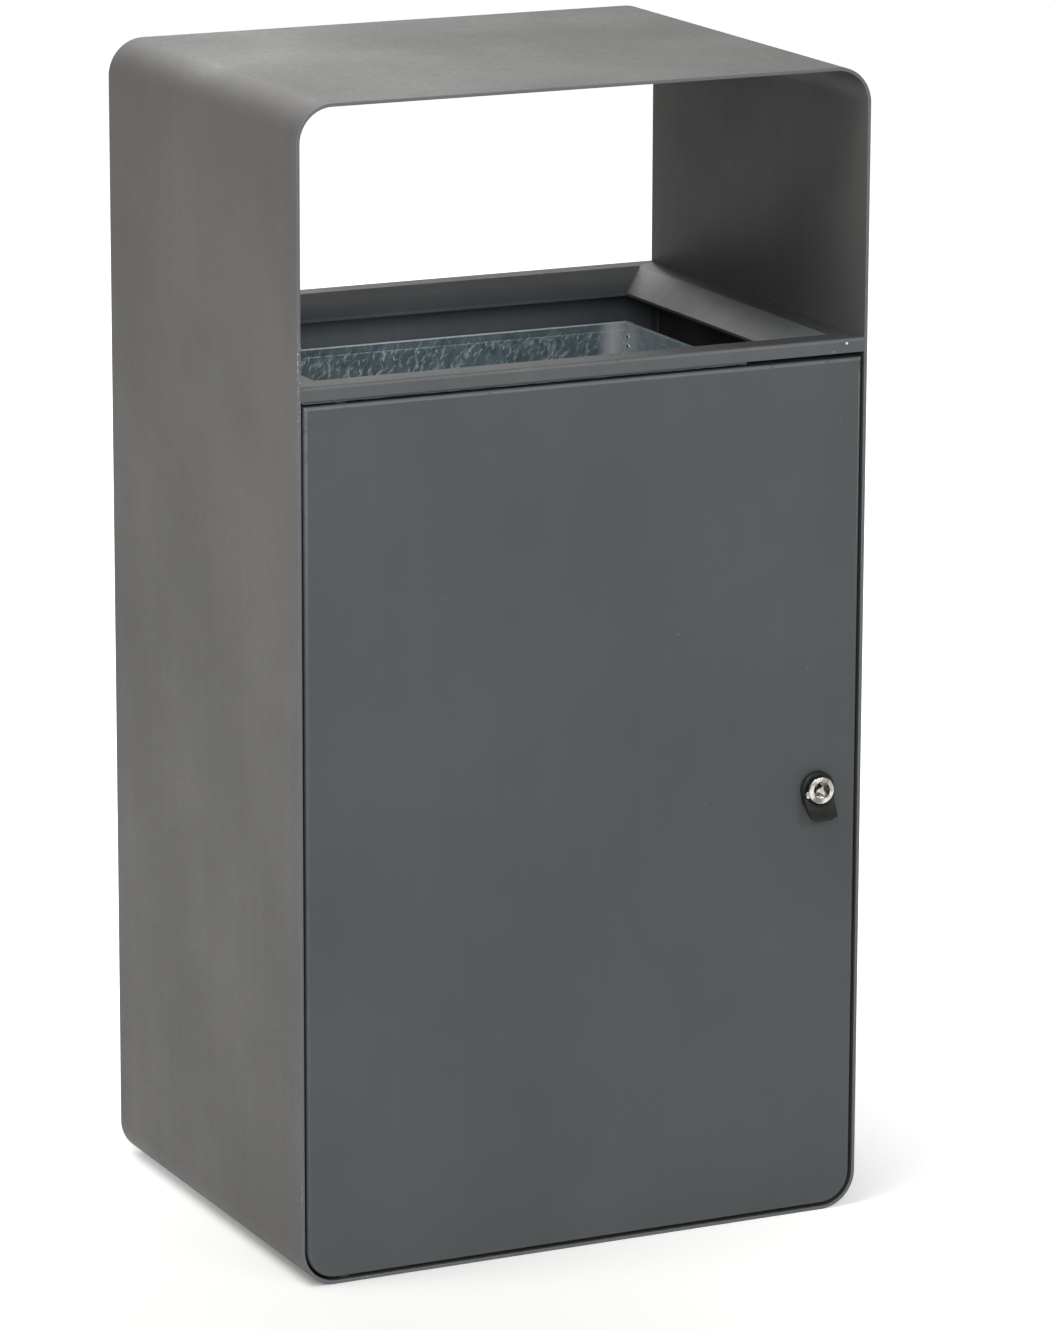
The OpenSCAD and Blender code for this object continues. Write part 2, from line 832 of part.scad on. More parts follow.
module lock_housing() {
    head_r = head_d / 2;
    edge_r = 1;
    barrel_end = cam_y - front_y - axial_gap;
    pointer_w = 6;
    color(chrome)
        difference() {
            translate([lock_x, front_y, lock_z])
                rotate([90, 0, 0]) {
                    // Head with a rounded rim
                    rotate_extrude() {
                        translate([0, seat_floor])
                            square([head_r, head_front - edge_r - seat_floor]);
                        translate([0, seat_floor])
                            square([head_r - edge_r, head_front - seat_floor]);
                        translate([head_r - edge_r, head_front - edge_r])
                            circle(r = edge_r);
                    }
                    // Barrel
                    translate([0, 0, -barrel_end])
                        cylinder(r = barrel_r, h = barrel_end + seat_floor);
                    // Pointer over the collar's left side
                    rotate(194)
                        translate([0, 0, collar_h + past])
                            linear_extrude(head_h / 2)
                                polygon([[0, -pointer_w / 2], [head_r + pointer_l - past, -pointer_w / 2],
                                    [head_r + pointer_l, past - pointer_w / 2], [head_r + pointer_l, pointer_w / 2 - past],
                                    [head_r + pointer_l - past, pointer_w / 2], [0, pointer_w / 2]]);
                }
            // Socket, and the bore for the insert behind it
            translate([lock_x, front_y, lock_z])
                rotate([90, 0, 0])
                    translate([0, 0, socket_floor - insert_flange_t])
                        cylinder(r = insert_r + run_gap, h = socket_depth + insert_flange_t + past);
            translate([lock_x, front_y, lock_z])
                rotate([90, 0, 0])
                    translate([0, 0, -barrel_end - past])
                        cylinder(r = shaft_r + run_gap, h = barrel_end + socket_floor);
        }
}

module lock_washer() {
    color(bright_steel)
        at_lock()
            translate([0, 0, door_t])
                difference() {
                    cylinder(d = nut_af, h = washer_t);
                    translate([0, 0, -past])
                        cylinder(r = barrel_r + seat_gap, h = washer_t + 2 * past);
                }
}

module lock_nut() {
    color(bright_steel)
        at_lock()
            translate([0, 0, door_t + washer_t])
                difference() {
                    cylinder(r = nut_af / sqrt(3), h = nut_t, $fn = 6);
                    translate([0, 0, -past])
                        cylinder(r = barrel_r + seat_gap, h = nut_t + 2 * past);
                }
}

module lock_insert() {
    cam_p = cam_y - front_y;
    color(chrome)
        translate([lock_x, front_y, lock_z])
            rotate([90, 0, 0])
                difference() {
                    union() {
                        translate([0, 0, -cam_p])
                            cylinder(r = shaft_r, h = socket_floor + cam_p);
                        translate([0, 0, socket_floor - insert_flange_t + axial_gap])
                            cylinder(r = insert_r, h = insert_flange_t - axial_gap);
                        // Three-sided key post, one corner pointing left
                        translate([0, 0, socket_floor - past])
                            rotate(180)
                                cylinder(r = post_r, h = socket_depth, $fn = 3);
                        // Square end that drives the cam
                        translate([-square_s / 2, -square_s / 2, -cam_p - cam_t])
                            cube([square_s, square_s, cam_t + past]);
                    }
                    // Hole for the cam screw
                    translate([0, 0, -cam_p - cam_t - past])
                        cylinder(r = screw_r + seat_gap, h = screw_l - washer_t + 2 * past);
                }
}

module lock_cam() {
    hub_r = shaft_r + cam_hub_wall;
    tip_r = cam_tip_w / 2;
    tip_z = tip_r - cam_reach;
    neck = cam_tip_w - 2 * past;
    color(bright_steel)
        translate([lock_x, 0, lock_z])
            along_y(cam_y, cam_y + cam_t)
                difference() {
                    union() {
                        circle(r = hub_r);
                        translate([0, tip_z])
                            circle(r = tip_r);
                        translate([-neck / 2, tip_z - past])
                            square([neck, past - tip_z + hub_r / 3]);
                    }
                    translate([-square_s / 2 - seat_gap, -square_s / 2 - seat_gap])
                        square(square_s + 2 * seat_gap);
                }
}

module cam_washer() {
    color(bright_steel)
        translate([lock_x, cam_y + cam_t, lock_z])
            rotate([-90, 0, 0])
                difference() {
                    cylinder(r = square_s * 0.9, h = washer_t);
                    translate([0, 0, -past])
                        cylinder(r = screw_r + seat_gap, h = washer_t + 2 * past);
                }
}

module cam_screw() {
    head_r = 2 * screw_r;
    head_t = 1.1 * screw_r;
    color(bright_steel)
        translate([lock_x, cam_y + cam_t + washer_t, lock_z])
            rotate([-90, 0, 0])
                difference() {
                    union() {
                        translate([0, 0, -screw_l])
                            cylinder(r = screw_r, h = screw_l);
                        cylinder(r = head_r, h = head_t);
                    }
                    translate([0, 0, head_t / 3])
                        cylinder(r = screw_r * 0.77, h = head_t, $fn = 6);
                }
}

// Plan of the liner's front and side walls at a distance in from their outer face
module wrap_plan(inset) {
    half = liner_x - liner_t - inset;
    r = max(liner_r - inset, 0.5);
    front = liner_front_y + inset;
    translate([-half, front + r])
        square([2 * half, beyond]);
    translate([r - half, front])
        square([2 * (half - r), beyond]);
    for (side = [-1, 1])
        translate([side * (half - r), front + r])
            circle(r = r);
}

// A band of the wrap between two insets, cut off at the rear wall
module wrap_band(outer, inner, rear, low, high) {
    translate([0, 0, low])
        linear_extrude(high - low)
            intersection() {
                difference() {
                    wrap_plan(outer);
                    wrap_plan(inner);
                }
                translate([-liner_x, liner_front_y])
                    square([2 * liner_x, rear - liner_front_y]);
            }
}

module liner_wrap() {
    color(zinc)
        difference() {
            union() {
                wrap_band(0, liner_t, liner_rear_y - liner_t, liner_low, liner_top);
                wrap_band(0, 2 * liner_t, liner_rear_y - 2 * liner_t - past, liner_top - hem_h, liner_top);
            }
            rivet_holes();
        }
}

module liner_rear_wall() {
    color(zinc)
        difference() {
            union() {
                translate([-liner_x, liner_rear_y - liner_t, liner_low])
                    cube([2 * liner_x, liner_t, liner_top - liner_low]);
                // Laps outside the side walls
                for (side = [0, 1])
                    mirror([side, 0, 0])
                        translate([liner_x - liner_t, liner_rear_y - lap_w, liner_low])
                            cube([liner_t, lap_w, liner_top - liner_low]);
                // Hem
                translate([past - side_inner_x, liner_rear_y - 2 * liner_t, liner_top - hem_h])
                    cube([2 * (side_inner_x - past), liner_t, hem_h]);
            }
            rivet_holes();
        }
}

module liner_floor() {
    low_r = max(liner_r - liner_t, 0.5);
    front = liner_front_y + liner_t;
    rear = liner_rear_y - liner_t;
    color(zinc)
        difference() {
            union() {
                translate([0, 0, liner_low])
                    linear_extrude(liner_t)
                        intersection() {
                            wrap_plan(liner_t);
                            translate([-liner_x, front])
                                square([2 * liner_x, rear - front]);
                        }
                wrap_band(liner_t, 2 * liner_t, rear, liner_low, liner_low + lap_w);
                translate([low_r - side_inner_x, rear - liner_t, liner_low])
                    cube([2 * (side_inner_x - low_r), liner_t, lap_w]);
            }
            rivet_holes();
            for (x = [-1, 1], y = [-1, 1])
                translate([x * liner_x / 2, (front + rear) / 2 + y * (rear - front) / 4, liner_low - past])
                    cylinder(d = drain_d, h = liner_t + 2 * past);
        }
}

// Places of the rivets in the side walls. Local +z points outwards through the wall.
// Down each rear seam a pair sits at the top and single rivets follow; three more hold the floor.
module seam_rivet_places() {
    seam_y = liner_rear_y - liner_t - rivet_d * 0.8;
    first_z = liner_top - rivet_top;
    last_z = liner_low + 2 * lap_w;
    heights = concat([first_z, first_z - rivet_pair],
        [for (i = [1 : seam_rivets]) first_z + (last_z - first_z) * i / seam_rivets]);
    for (side = [0, 1], z = heights)
        mirror([side, 0, 0])
            translate([side_inner_x, seam_y, z])
                rotate([0, 90, 0])
                    children();
}

module floor_rivet_places() {
    z = liner_low + lap_w / 2;
    span = liner_rear_y - liner_front_y;
    for (side = [0, 1], i = [1 : 3])
        mirror([side, 0, 0])
            translate([side_inner_x - liner_t, liner_front_y + span * i / 4, z])
                rotate([0, 90, 0])
                    children();
}

module handle_rivet_places() {
    for (side = [-1, 1])
        translate([side * (handle_w / 2 - lap_w / 2), liner_front_y + liner_t, handle_z])
            rotate([90, 0, 0])
                children();
}

module rivet_holes() {
    hole_r = rivet_d / 4 + seat_gap;
    seam_rivet_places()
        translate([0, 0, -past])
            cylinder(r = hole_r, h = 2 * liner_t + 2 * past);
    floor_rivet_places()
        translate([0, 0, -past])
            cylinder(r = hole_r, h = 2 * liner_t + 2 * past);
    handle_rivet_places()
        translate([0, 0, -past])
            cylinder(r = hole_r, h = liner_t + handle_t + 2 * past);
}

module liner_rivets() {
    color(bright_steel) {
        seam_rivet_places()
            blind_rivet(2 * liner_t);
        floor_rivet_places()
            blind_rivet(2 * liner_t);
        handle_rivet_places()
            blind_rivet(liner_t + handle_t);
    }
}

module liner_handle() {
    half = handle_w / 2;
    arm = half - lap_w - handle_t;
    color(zinc)
        difference() {
            translate([0, liner_front_y, handle_z - handle_h / 2])
                mirror([0, 1, 0])
                    linear_extrude(handle_h) {
                        for (side = [0, 1])
                            mirror([side, 0]) {
                                translate([arm, 0])
                                    square([half - arm, handle_t]);
                                translate([arm, 0])
                                    square([handle_t, handle_out + handle_t]);
                            }
                        translate([-arm - handle_t, handle_out])
                            square([2 * (arm + handle_t), handle_t]);
                    }
            rivet_holes();
        }
}

outer_hoop();
funnel_deck();
rear_panel();
apron_rivet_row();
liner_shelf();
top_pivot_block();
top_pivot_pin();
bottom_pivot_pin();
door_stop();
door_buffers();
door_panel();
door_stiffener();
top_pivot_plate();
bottom_pivot_plate();
top_bush();
bottom_bush();
finger_pull();
lock_housing();
lock_washer();
lock_nut();
lock_insert();
lock_cam();
cam_washer();
cam_screw();
liner_wrap();
liner_rear_wall();
liner_floor();
liner_rivets();
liner_handle();
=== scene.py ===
import math

import bmesh
import bpy
import numpy as np
from mathutils import Matrix, Vector


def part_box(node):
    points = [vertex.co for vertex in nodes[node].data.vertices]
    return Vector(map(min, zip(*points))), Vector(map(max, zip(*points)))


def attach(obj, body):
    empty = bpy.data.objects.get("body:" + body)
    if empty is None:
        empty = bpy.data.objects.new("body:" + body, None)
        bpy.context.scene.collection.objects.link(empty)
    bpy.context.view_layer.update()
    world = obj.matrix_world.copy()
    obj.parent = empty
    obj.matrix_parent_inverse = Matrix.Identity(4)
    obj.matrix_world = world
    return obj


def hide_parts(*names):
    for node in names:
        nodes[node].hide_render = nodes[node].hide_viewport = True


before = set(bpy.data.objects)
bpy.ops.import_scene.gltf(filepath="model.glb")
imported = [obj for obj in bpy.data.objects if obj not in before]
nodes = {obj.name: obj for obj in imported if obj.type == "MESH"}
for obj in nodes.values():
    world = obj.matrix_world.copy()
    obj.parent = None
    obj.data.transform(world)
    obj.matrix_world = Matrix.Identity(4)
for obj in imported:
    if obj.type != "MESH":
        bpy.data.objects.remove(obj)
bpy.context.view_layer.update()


# Colours are written as they look on screen, 0 to 255
def seen(r, g, b):
    def linear(level):
        c = level / 255
        return c / 12.92 if c <= 0.04045 else ((c + 0.055) / 1.055) ** 2.4
    return (linear(r), linear(g), linear(b), 1.0)


# Each input is a value or another node's output
def feed(tree, node, inputs):
    for name, value in inputs.items():
        if isinstance(value, bpy.types.NodeSocket):
            tree.links.new(value, node.inputs[name])
        else:
            node.inputs[name].default_value = value


def add(tree, kind, inputs=None, **settings):
    node = tree.nodes.new(kind)
    for name, value in settings.items():
        setattr(node, name, value)
    feed(tree, node, inputs or {})
    return node


def calc(tree, operation, *values, clamp=False):
    given = dict(enumerate(values))
    return add(tree, "ShaderNodeMath", given, operation=operation, use_clamp=clamp).outputs[0]


def times(tree, one, other):
    return calc(tree, "MULTIPLY", one, other)


def timesPlus(tree, one, other, third, clamp=False):
    return calc(tree, "MULTIPLY_ADD", one, other, third, clamp=clamp)


def minus(tree, one, other):
    return calc(tree, "SUBTRACT", one, other)


def hypotenuse(tree, one, other):
    return calc(tree, "SQRT", calc(tree, "ADD", times(tree, one, one), times(tree, other, other)))


def scaled(tree, vector, factor):
    return add(tree, "ShaderNodeVectorMath", {0: vector, "Scale": factor}, operation="SCALE").outputs[0]


# A pattern's coordinates, for marks of the given size
def sized(tree, vector, size, factor=1.0):
    return scaled(tree, vector, calc(tree, "DIVIDE", factor, size))


def stretched(tree, vector, factors):
    return add(tree, "ShaderNodeVectorMath", {0: vector, 1: factors}, operation="MULTIPLY").outputs[0]


def pushed(tree, vector, factors, base):
    given = {0: vector, 1: factors, 2: base}
    return add(tree, "ShaderNodeVectorMath", given, operation="MULTIPLY_ADD").outputs[0]


def distance(tree, one, other):
    return add(tree, "ShaderNodeVectorMath", {0: one, 1: other}, operation="DISTANCE").outputs["Value"]


def rotated(tree, vector, angle, axis):
    return add(tree, "ShaderNodeVectorRotate", {"Vector": vector, "Angle": angle}, rotation_type=axis).outputs[0]


def axes(tree, vector):
    return add(tree, "ShaderNodeSeparateXYZ", {0: vector}).outputs


def channels(tree, colour):
    return add(tree, "ShaderNodeSeparateColor", {0: colour}).outputs


# What a mesh has marked on itself
def markOn(tree, name):
    return add(tree, "ShaderNodeAttribute", attribute_name=name, attribute_type="GEOMETRY").outputs["Fac"]


# From one range to another, eased at both ends
def remap(tree, value, low, high, toLow=0.0, toHigh=1.0):
    given = {0: value, 1: low, 2: high, 3: toLow, 4: toHigh}
    return add(tree, "ShaderNodeMapRange", given, interpolation_type="SMOOTHSTEP").outputs[0]


def mixed(tree, share, first, second):
    return add(tree, "ShaderNodeMix", {0: share, 6: first, 7: second}, data_type="RGBA").outputs[2]


def noise(tree, vector, scale, detail=2.0, rough=0.5):
    given = {"Vector": vector, "Scale": scale, "Detail": detail, "Roughness": rough}
    return add(tree, "ShaderNodeTexNoise", given).outputs["Fac"]


def noiseColour(tree, vector, scale, detail):
    return add(tree, "ShaderNodeTexNoise", {"Vector": vector, "Scale": scale, "Detail": detail}).outputs["Color"]


# Nodes laid out in columns, so that the trees can be read
def tidyTree(tree):
    depth = {}
    feeds = {}
    for link in tree.links:
        feeds.setdefault(link.to_node, set()).add(link.from_node)
    ends = [n for n in tree.nodes if not any(o.is_linked for o in n.outputs)]
    front = [(n, 0) for n in ends]
    while front:
        node, column = front.pop()
        if depth.get(node, -1) < column:
            depth[node] = column
            front.extend((n, column + 1) for n in feeds.get(node, ()))
    rows = {}
    for node in tree.nodes:
        column = depth.get(node, 0)
        node.location = (-240 * column, -220 * rows.get(column, 0))
        rows[column] = rows.get(column, 0) + 1


def newGroup(name, inputs, outputs, treeType="ShaderNodeTree"):
    tree = bpy.data.node_groups.new(name, treeType)
    for label, kind, value in inputs:
        socket = tree.interface.new_socket(label, in_out="INPUT", socket_type=kind)
        if value is not None:
            socket.default_value = value
    for label, kind in outputs:
        tree.interface.new_socket(label, in_out="OUTPUT", socket_type=kind)
    given = tree.nodes.new("NodeGroupInput").outputs
    result = tree.nodes.new("NodeGroupOutput").inputs
    return tree, given, result


def useGroup(tree, group, inputs):
    return add(tree, "ShaderNodeGroup", inputs, node_tree=group).outputs


floatSocket = "NodeSocketFloat"
geometryOut = [("Geometry", "NodeSocketGeometry")]


# A surface effect takes a place and some sizes, and gives masks and values
def newEffect(name, sizes, outputs):
    inputs = [("Vector", "NodeSocketVector", None)]
    inputs += [(label, floatSocket, value) for label, value in sizes.items()]
    return newGroup(name, inputs, [(label, floatSocket) for label in outputs])


# Powder coat: a fine grain, a slow clouding, rolled streaks and stray light specks
def makePowderGrain():
    tree, given, result = newEffect(
        "powderGrain",
        {"Grain Size": 0.0009, "Cloud Size": 0.15, "Streak Width": 0.012, "Streak Length": 0.5,
         "Speck Spacing": 0.03, "Speck Size": 0.0007},
        ("Grain", "Cloud", "Streak", "Speck"))
    place = given["Vector"]
    fine = noise(tree, sized(tree, place, given["Grain Size"]), 1.0, 2.0, 0.6)
    peel = noise(tree, sized(tree, place, given["Grain Size"], 0.22), 1.0, 1.0)
    tree.links.new(timesPlus(tree, peel, 0.6, times(tree, fine, 0.4)), result["Grain"])
    cloud = noise(tree, sized(tree, place, given["Cloud Size"]), 1.0, 4.0, 0.55)
    tree.links.new(remap(tree, cloud, 0.28, 0.72), result["Cloud"])
    across = calc(tree, "DIVIDE", 1.0, given["Streak Width"])
    along = calc(tree, "DIVIDE", 1.0, given["Streak Length"])
    grid = add(tree, "ShaderNodeCombineXYZ", {0: across, 1: across, 2: along}).outputs[0]
    streak = noise(tree, stretched(tree, place, grid), 1.0, 3.0, 0.6)
    tree.links.new(remap(tree, streak, 0.3, 0.7), result["Streak"])
    spots = sized(tree, place, given["Speck Spacing"])
    cells = add(tree, "ShaderNodeTexVoronoi", {"Vector": spots, "Scale": 1.0})
    cellSize = times(tree, channels(tree, cells.outputs["Color"])[0],
                     calc(tree, "DIVIDE", given["Speck Size"], given["Speck Spacing"]))
    speck = calc(tree, "LESS_THAN", cells.outputs["Distance"], cellSize)
    tree.links.new(speck, result["Speck"])
    tidyTree(tree)
    return tree


# Lightened edges, partly wear and partly painted highlight: where the mesh is marked as an edge, broken up by noise
def makeEdgeWearAndHighlight():
    tree, given, result = newEffect("rubbedEdge", {"Edge": 0.0, "Patch Size": 0.012, "Cover": 0.5}, ("Rub",))
    patch = noise(tree, sized(tree, given["Vector"], given["Patch Size"]), 1.0, 4.0, 0.6)
    low = minus(tree, 0.78, times(tree, given["Cover"], 0.56))
    keep = remap(tree, patch, low, calc(tree, "ADD", low, 0.16))
    tree.links.new(times(tree, keep, given["Edge"]), result["Rub"])
    tidyTree(tree)
    return tree


# Hot-dip zinc: crystals with feathered streaks inside, pale leaves and plumes, and a soft bloom
def makeZincSpangle():
    tree, given, result = newEffect(
        "zincSpangle",
        {"Flake Size": 0.012, "Feather": 0.5, "Leaf Size": 0.012, "Leaf Share": 0.5},
        ("Flake", "Feathering", "Bloom", "Leaf", "Plume"))
    place = sized(tree, given["Vector"], given["Flake Size"])
    bent = pushed(tree, noiseColour(tree, place, 1.7, 3.0), given["Feather"], place)
    cells = add(tree, "ShaderNodeTexVoronoi", {"Vector": bent, "Scale": 1.0})
    crystal = channels(tree, cells.outputs["Color"])
    tree.links.new(crystal[0], result["Flake"])
    turnedCrystal = rotated(tree, bent, times(tree, crystal[1], 6.28), "Y_AXIS")
    lines = noise(tree, stretched(tree, turnedCrystal, (7.0, 7.0, 0.9)), 1.0, 2.0)
    tree.links.new(remap(tree, lines, 0.35, 0.7), result["Feathering"])
    bloom = noise(tree, sized(tree, given["Vector"], given["Flake Size"], 0.16), 1.0, 3.0)
    tree.links.new(remap(tree, bloom, 0.3, 0.7), result["Bloom"])
    # The walls laid onto one plane, for marks that lean across them
    where = axes(tree, given["Vector"])
    flat = add(tree, "ShaderNodeCombineXYZ", {0: timesPlus(tree, where[1], 0.7, where[0]),
                                              1: timesPlus(tree, where[1], 0.45, where[2])}).outputs[0]
    field = sized(tree, flat, given["Leaf Size"])
    seeds = add(tree, "ShaderNodeTexVoronoi", {"Vector": field, "Scale": 1.0}, voronoi_dimensions="2D")
    local = add(tree, "ShaderNodeVectorMath", {0: field, 1: seeds.outputs["Position"]}, operation="SUBTRACT")
    dice = channels(tree, seeds.outputs["Color"])
    along = axes(tree, rotated(tree, local.outputs[0], timesPlus(tree, dice[0], -1.5, -0.2), "Z_AXIS"))
    curve = times(tree, times(tree, along[0], along[0]), timesPlus(tree, dice[1], 1.6, -0.3))
    across = times(tree, calc(tree, "ADD", along[1], curve), 6.5)
    length = times(tree, along[0], timesPlus(tree, dice[1], 1.4, 1.7))
    ragged = noise(tree, scaled(tree, field, 5.0), 1.0, 3.0)
    blade = remap(tree, timesPlus(tree, ragged, 0.9, hypotenuse(tree, across, length)), 1.35, 0.6)
    kept = calc(tree, "LESS_THAN", dice[2], given["Leaf Share"])
    leaf = times(tree, times(tree, blade, kept), timesPlus(tree, dice[0], 0.7, 0.3))
    tree.links.new(leaf, result["Leaf"])
    swayed = pushed(tree, noiseColour(tree, field, 0.7, 1.0), (1.5, 1.5, 0.0), field)
    plumes = []
    for angle in (-0.65, -1.35):
        leaning = rotated(tree, swayed, angle, "Z_AXIS")
        plumes.append(remap(tree, noise(tree, stretched(tree, leaning, (0.5, 2.3, 1.0)), 1.0, 3.0), 0.5, 0.7))
    drift = noise(tree, scaled(tree, field, 0.45), 1.0, 2.0)
    first = times(tree, plumes[0], remap(tree, drift, 0.42, 0.6))
    second = times(tree, plumes[1], remap(tree, drift, 0.6, 0.42, 0.25, 1.0))
    tree.links.new(calc(tree, "MAXIMUM", first, second), result["Plume"])
    tidyTree(tree)
    return tree


# Fine marks on bare or plated metal: crossing scratches and dull patches
def makeHandledMetal():
    tree, given, result = newEffect("handledMetal", {"Mark Size": 0.002}, ("Scratch", "Dull"))
    place = sized(tree, given["Vector"], given["Mark Size"])
    one = noise(tree, stretched(tree, place, (5.0, 5.0, 0.35)), 1.0, 2.0)
    two = noise(tree, stretched(tree, place, (0.4, 4.0, 6.0)), 1.0, 2.0)
    tree.links.new(remap(tree, calc(tree, "MAXIMUM", one, two), 0.55, 0.8), result["Scratch"])
    tree.links.new(remap(tree, noise(tree, place, 0.5, 4.0, 0.6), 0.35, 0.65), result["Dull"])
    tidyTree(tree)
    return tree


# Moulded plastic: a sparked grain and faint flow marks
def makeMouldedGrain():
    tree, given, result = newEffect("mouldedGrain", {"Grain Size": 0.0006}, ("Grain", "Flow"))
    place = sized(tree, given["Vector"], given["Grain Size"])
    tree.links.new(noise(tree, place, 1.0, 3.0, 0.7), result["Grain"])
    tree.links.new(remap(tree, noise(tree, stretched(tree, place, (0.09, 0.09, 0.03)), 1.0, 3.0), 0.3, 0.7),
                   result["Flow"])
    tidyTree(tree)
    return tree


powderGrain = makePowderGrain()
rubbedEdge = makeEdgeWearAndHighlight()
zincSpangle = makeZincSpangle()
handledMetal = makeHandledMetal()
mouldedGrain = makeMouldedGrain()
print("surface effects: 5 groups")


def newMaterial(name, constants):
    material = bpy.data.materials.new(name)
    material.use_nodes = True
    tree = material.node_tree
    tree.nodes.clear()
    surface = add(tree, "ShaderNodeBsdfPrincipled", constants)
    add(tree, "ShaderNodeOutputMaterial", {"Surface": surface.outputs[0]})
    place = add(tree, "ShaderNodeTexCoord").outputs["Object"]
    return material, tree, surface, place


def bumped(tree, surface, height, strength, depth):
    bump = add(tree, "ShaderNodeBump", {"Height": height, "Strength": strength, "Distance": depth})
    tree.links.new(bump.outputs[0], surface.inputs["Normal"])


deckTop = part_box("funnel_deck")[1].z

# Each piece's coat is one paint in its own tone and tint, partly painted light and shade set to how that piece looks
# under its light
coatLook = {
    "hoopCoat": {"dark": seen(71, 70, 69), "light": seen(90, 89, 88), "edge": seen(104, 105, 110), "cover": 1.0,
                 "roughness": 0.50, "specular": 0.34, "cloudSize": 0.2, "clouds": 0.3,
                 "streaks": 0.14, "streakWidth": 0.012,
                 "nicks": (((-0.261, -0.2, 0.775), 0.06), ((-0.261, -0.2, 0.085), 0.02),
                           ((-0.2, -0.2, 0.001), 0.012))},
    "deckCoat": {"dark": seen(75, 78, 80), "light": seen(92, 94, 96), "edge": seen(134, 127, 127), "cover": 0.95,
                 "roughness": 0.48, "specular": 0.30, "cloudSize": 0.12, "clouds": 0.5,
                 "streaks": 0.15, "streakWidth": 0.014,
                 "nicks": (((-0.06, -0.2, 0.768), 0.02), ((-0.238, -0.2, 0.7572), 0.007),
                           ((-0.214, -0.2, 0.7572), 0.006), ((-0.185, -0.2, 0.7572), 0.008),
                           ((-0.09, -0.2, 0.7572), 0.007)),
                 "rimDarkening": {"height": deckTop, "fade": (0.0005, 0.0001), "share": 0.58, "patches": 0.3,
                          "colour": seen(46, 48, 50)},
                 "chips": (((0.2426, -0.2, 0.7652), 0.0013), ((0.2305, -0.2, 0.7588), 0.0006),
                           ((0.2566, -0.0313, 0.769), 0.0009))},
    "panelCoat": {"dark": seen(79, 85, 88), "light": seen(95, 101, 104), "edge": seen(110, 112, 114),
                  "roughness": 0.50, "specular": 0.40, "cloudSize": 0.20, "clouds": 0.5,
                  "streaks": 0.2, "streakWidth": 0.012},
    "pinCoat": {"dark": seen(26, 27, 28), "light": seen(34, 35, 36), "edge": seen(48, 49, 50),
                "roughness": 0.55, "specular": 0.25, "cloudSize": 0.02, "clouds": 0.5,
                "streaks": 0.1, "streakWidth": 0.004},
    "stripCoat": {"dark": seen(52, 56, 55), "light": seen(64, 68, 67), "edge": seen(168, 172, 172),
                  "roughness": 0.5, "specular": 0.35, "cloudSize": 0.05, "clouds": 0.5,
                  "streaks": 0.2, "streakWidth": 0.012},
    "doorCoat": {"dark": seen(63, 67, 69), "light": seen(77, 81, 82), "edge": seen(150, 154, 158), "cover": 0.9,
                 "roughness": 0.50, "specular": 0.40, "cloudSize": 0.24, "clouds": 0.4,
                 "streaks": 0.08, "streakWidth": 0.016, "edgeHighlightRise": (0.45, 0.76, 0.22, 1.0)},
}
# What all coats share: cover of the rubbed edges, and how much each mark changes the gloss
coatMarks = {"cover": 0.6, "rub": 0.7, "speck": seen(158, 158, 156), "cloudGloss": -0.09, "grainGloss": 0.25,
             "bump": 0.25, "bumpDepth": 0.0002}
chipLook = {"raggedScale": 900.0, "raggedness": 0.0012, "rimWidth": 1.5, "rim": seen(52, 53, 54),
            "bare": seen(222, 222, 220)}
nickLook = {"scale": 620.0, "start": 0.6, "full": 0.67, "core": 0.3, "colour": seen(156, 157, 156)}


# A chip in the paint: bare in the middle, dark at its rim
def chipped(tree, place, colour, centre, radius):
    raggedness = chipLook["raggedness"]
    moved = pushed(tree, noiseColour(tree, place, chipLook["raggedScale"], 2.0), (raggedness,) * 3, place)
    off = distance(tree, moved, tuple(c + raggedness / 2 for c in centre))
    colour = mixed(tree, calc(tree, "LESS_THAN", off, radius * chipLook["rimWidth"]), colour, chipLook["rim"])
    return mixed(tree, calc(tree, "LESS_THAN", off, radius), colour, chipLook["bare"])


# Nicks knocked into the edges around a few spots, where bags and keys catch them
def nicked(tree, place, colour, edge, spots):
    speck = remap(tree, noise(tree, place, nickLook["scale"], 1.0), nickLook["start"], nickLook["full"])
    for centre, reach in spots:
        near = remap(tree, distance(tree, place, centre), reach * nickLook["core"], reach, 1.0, 0.0)
        colour = mixed(tree, times(tree, times(tree, near, edge), speck), colour, nickLook["colour"])
    return colour


# The flat rim at the top of the deck is made darker, in cloudy patches
def darkenedRimTop(tree, place, colour, cloud, rimDarkening):
    start, full = (rimDarkening["height"] - depth for depth in rimDarkening["fade"])
    flat = remap(tree, axes(tree, place)[2], start, full)
    patchy = times(tree, flat, timesPlus(tree, cloud, rimDarkening["patches"], rimDarkening["share"] - rimDarkening["patches"] / 2))
    return mixed(tree, patchy, colour, rimDarkening["colour"])


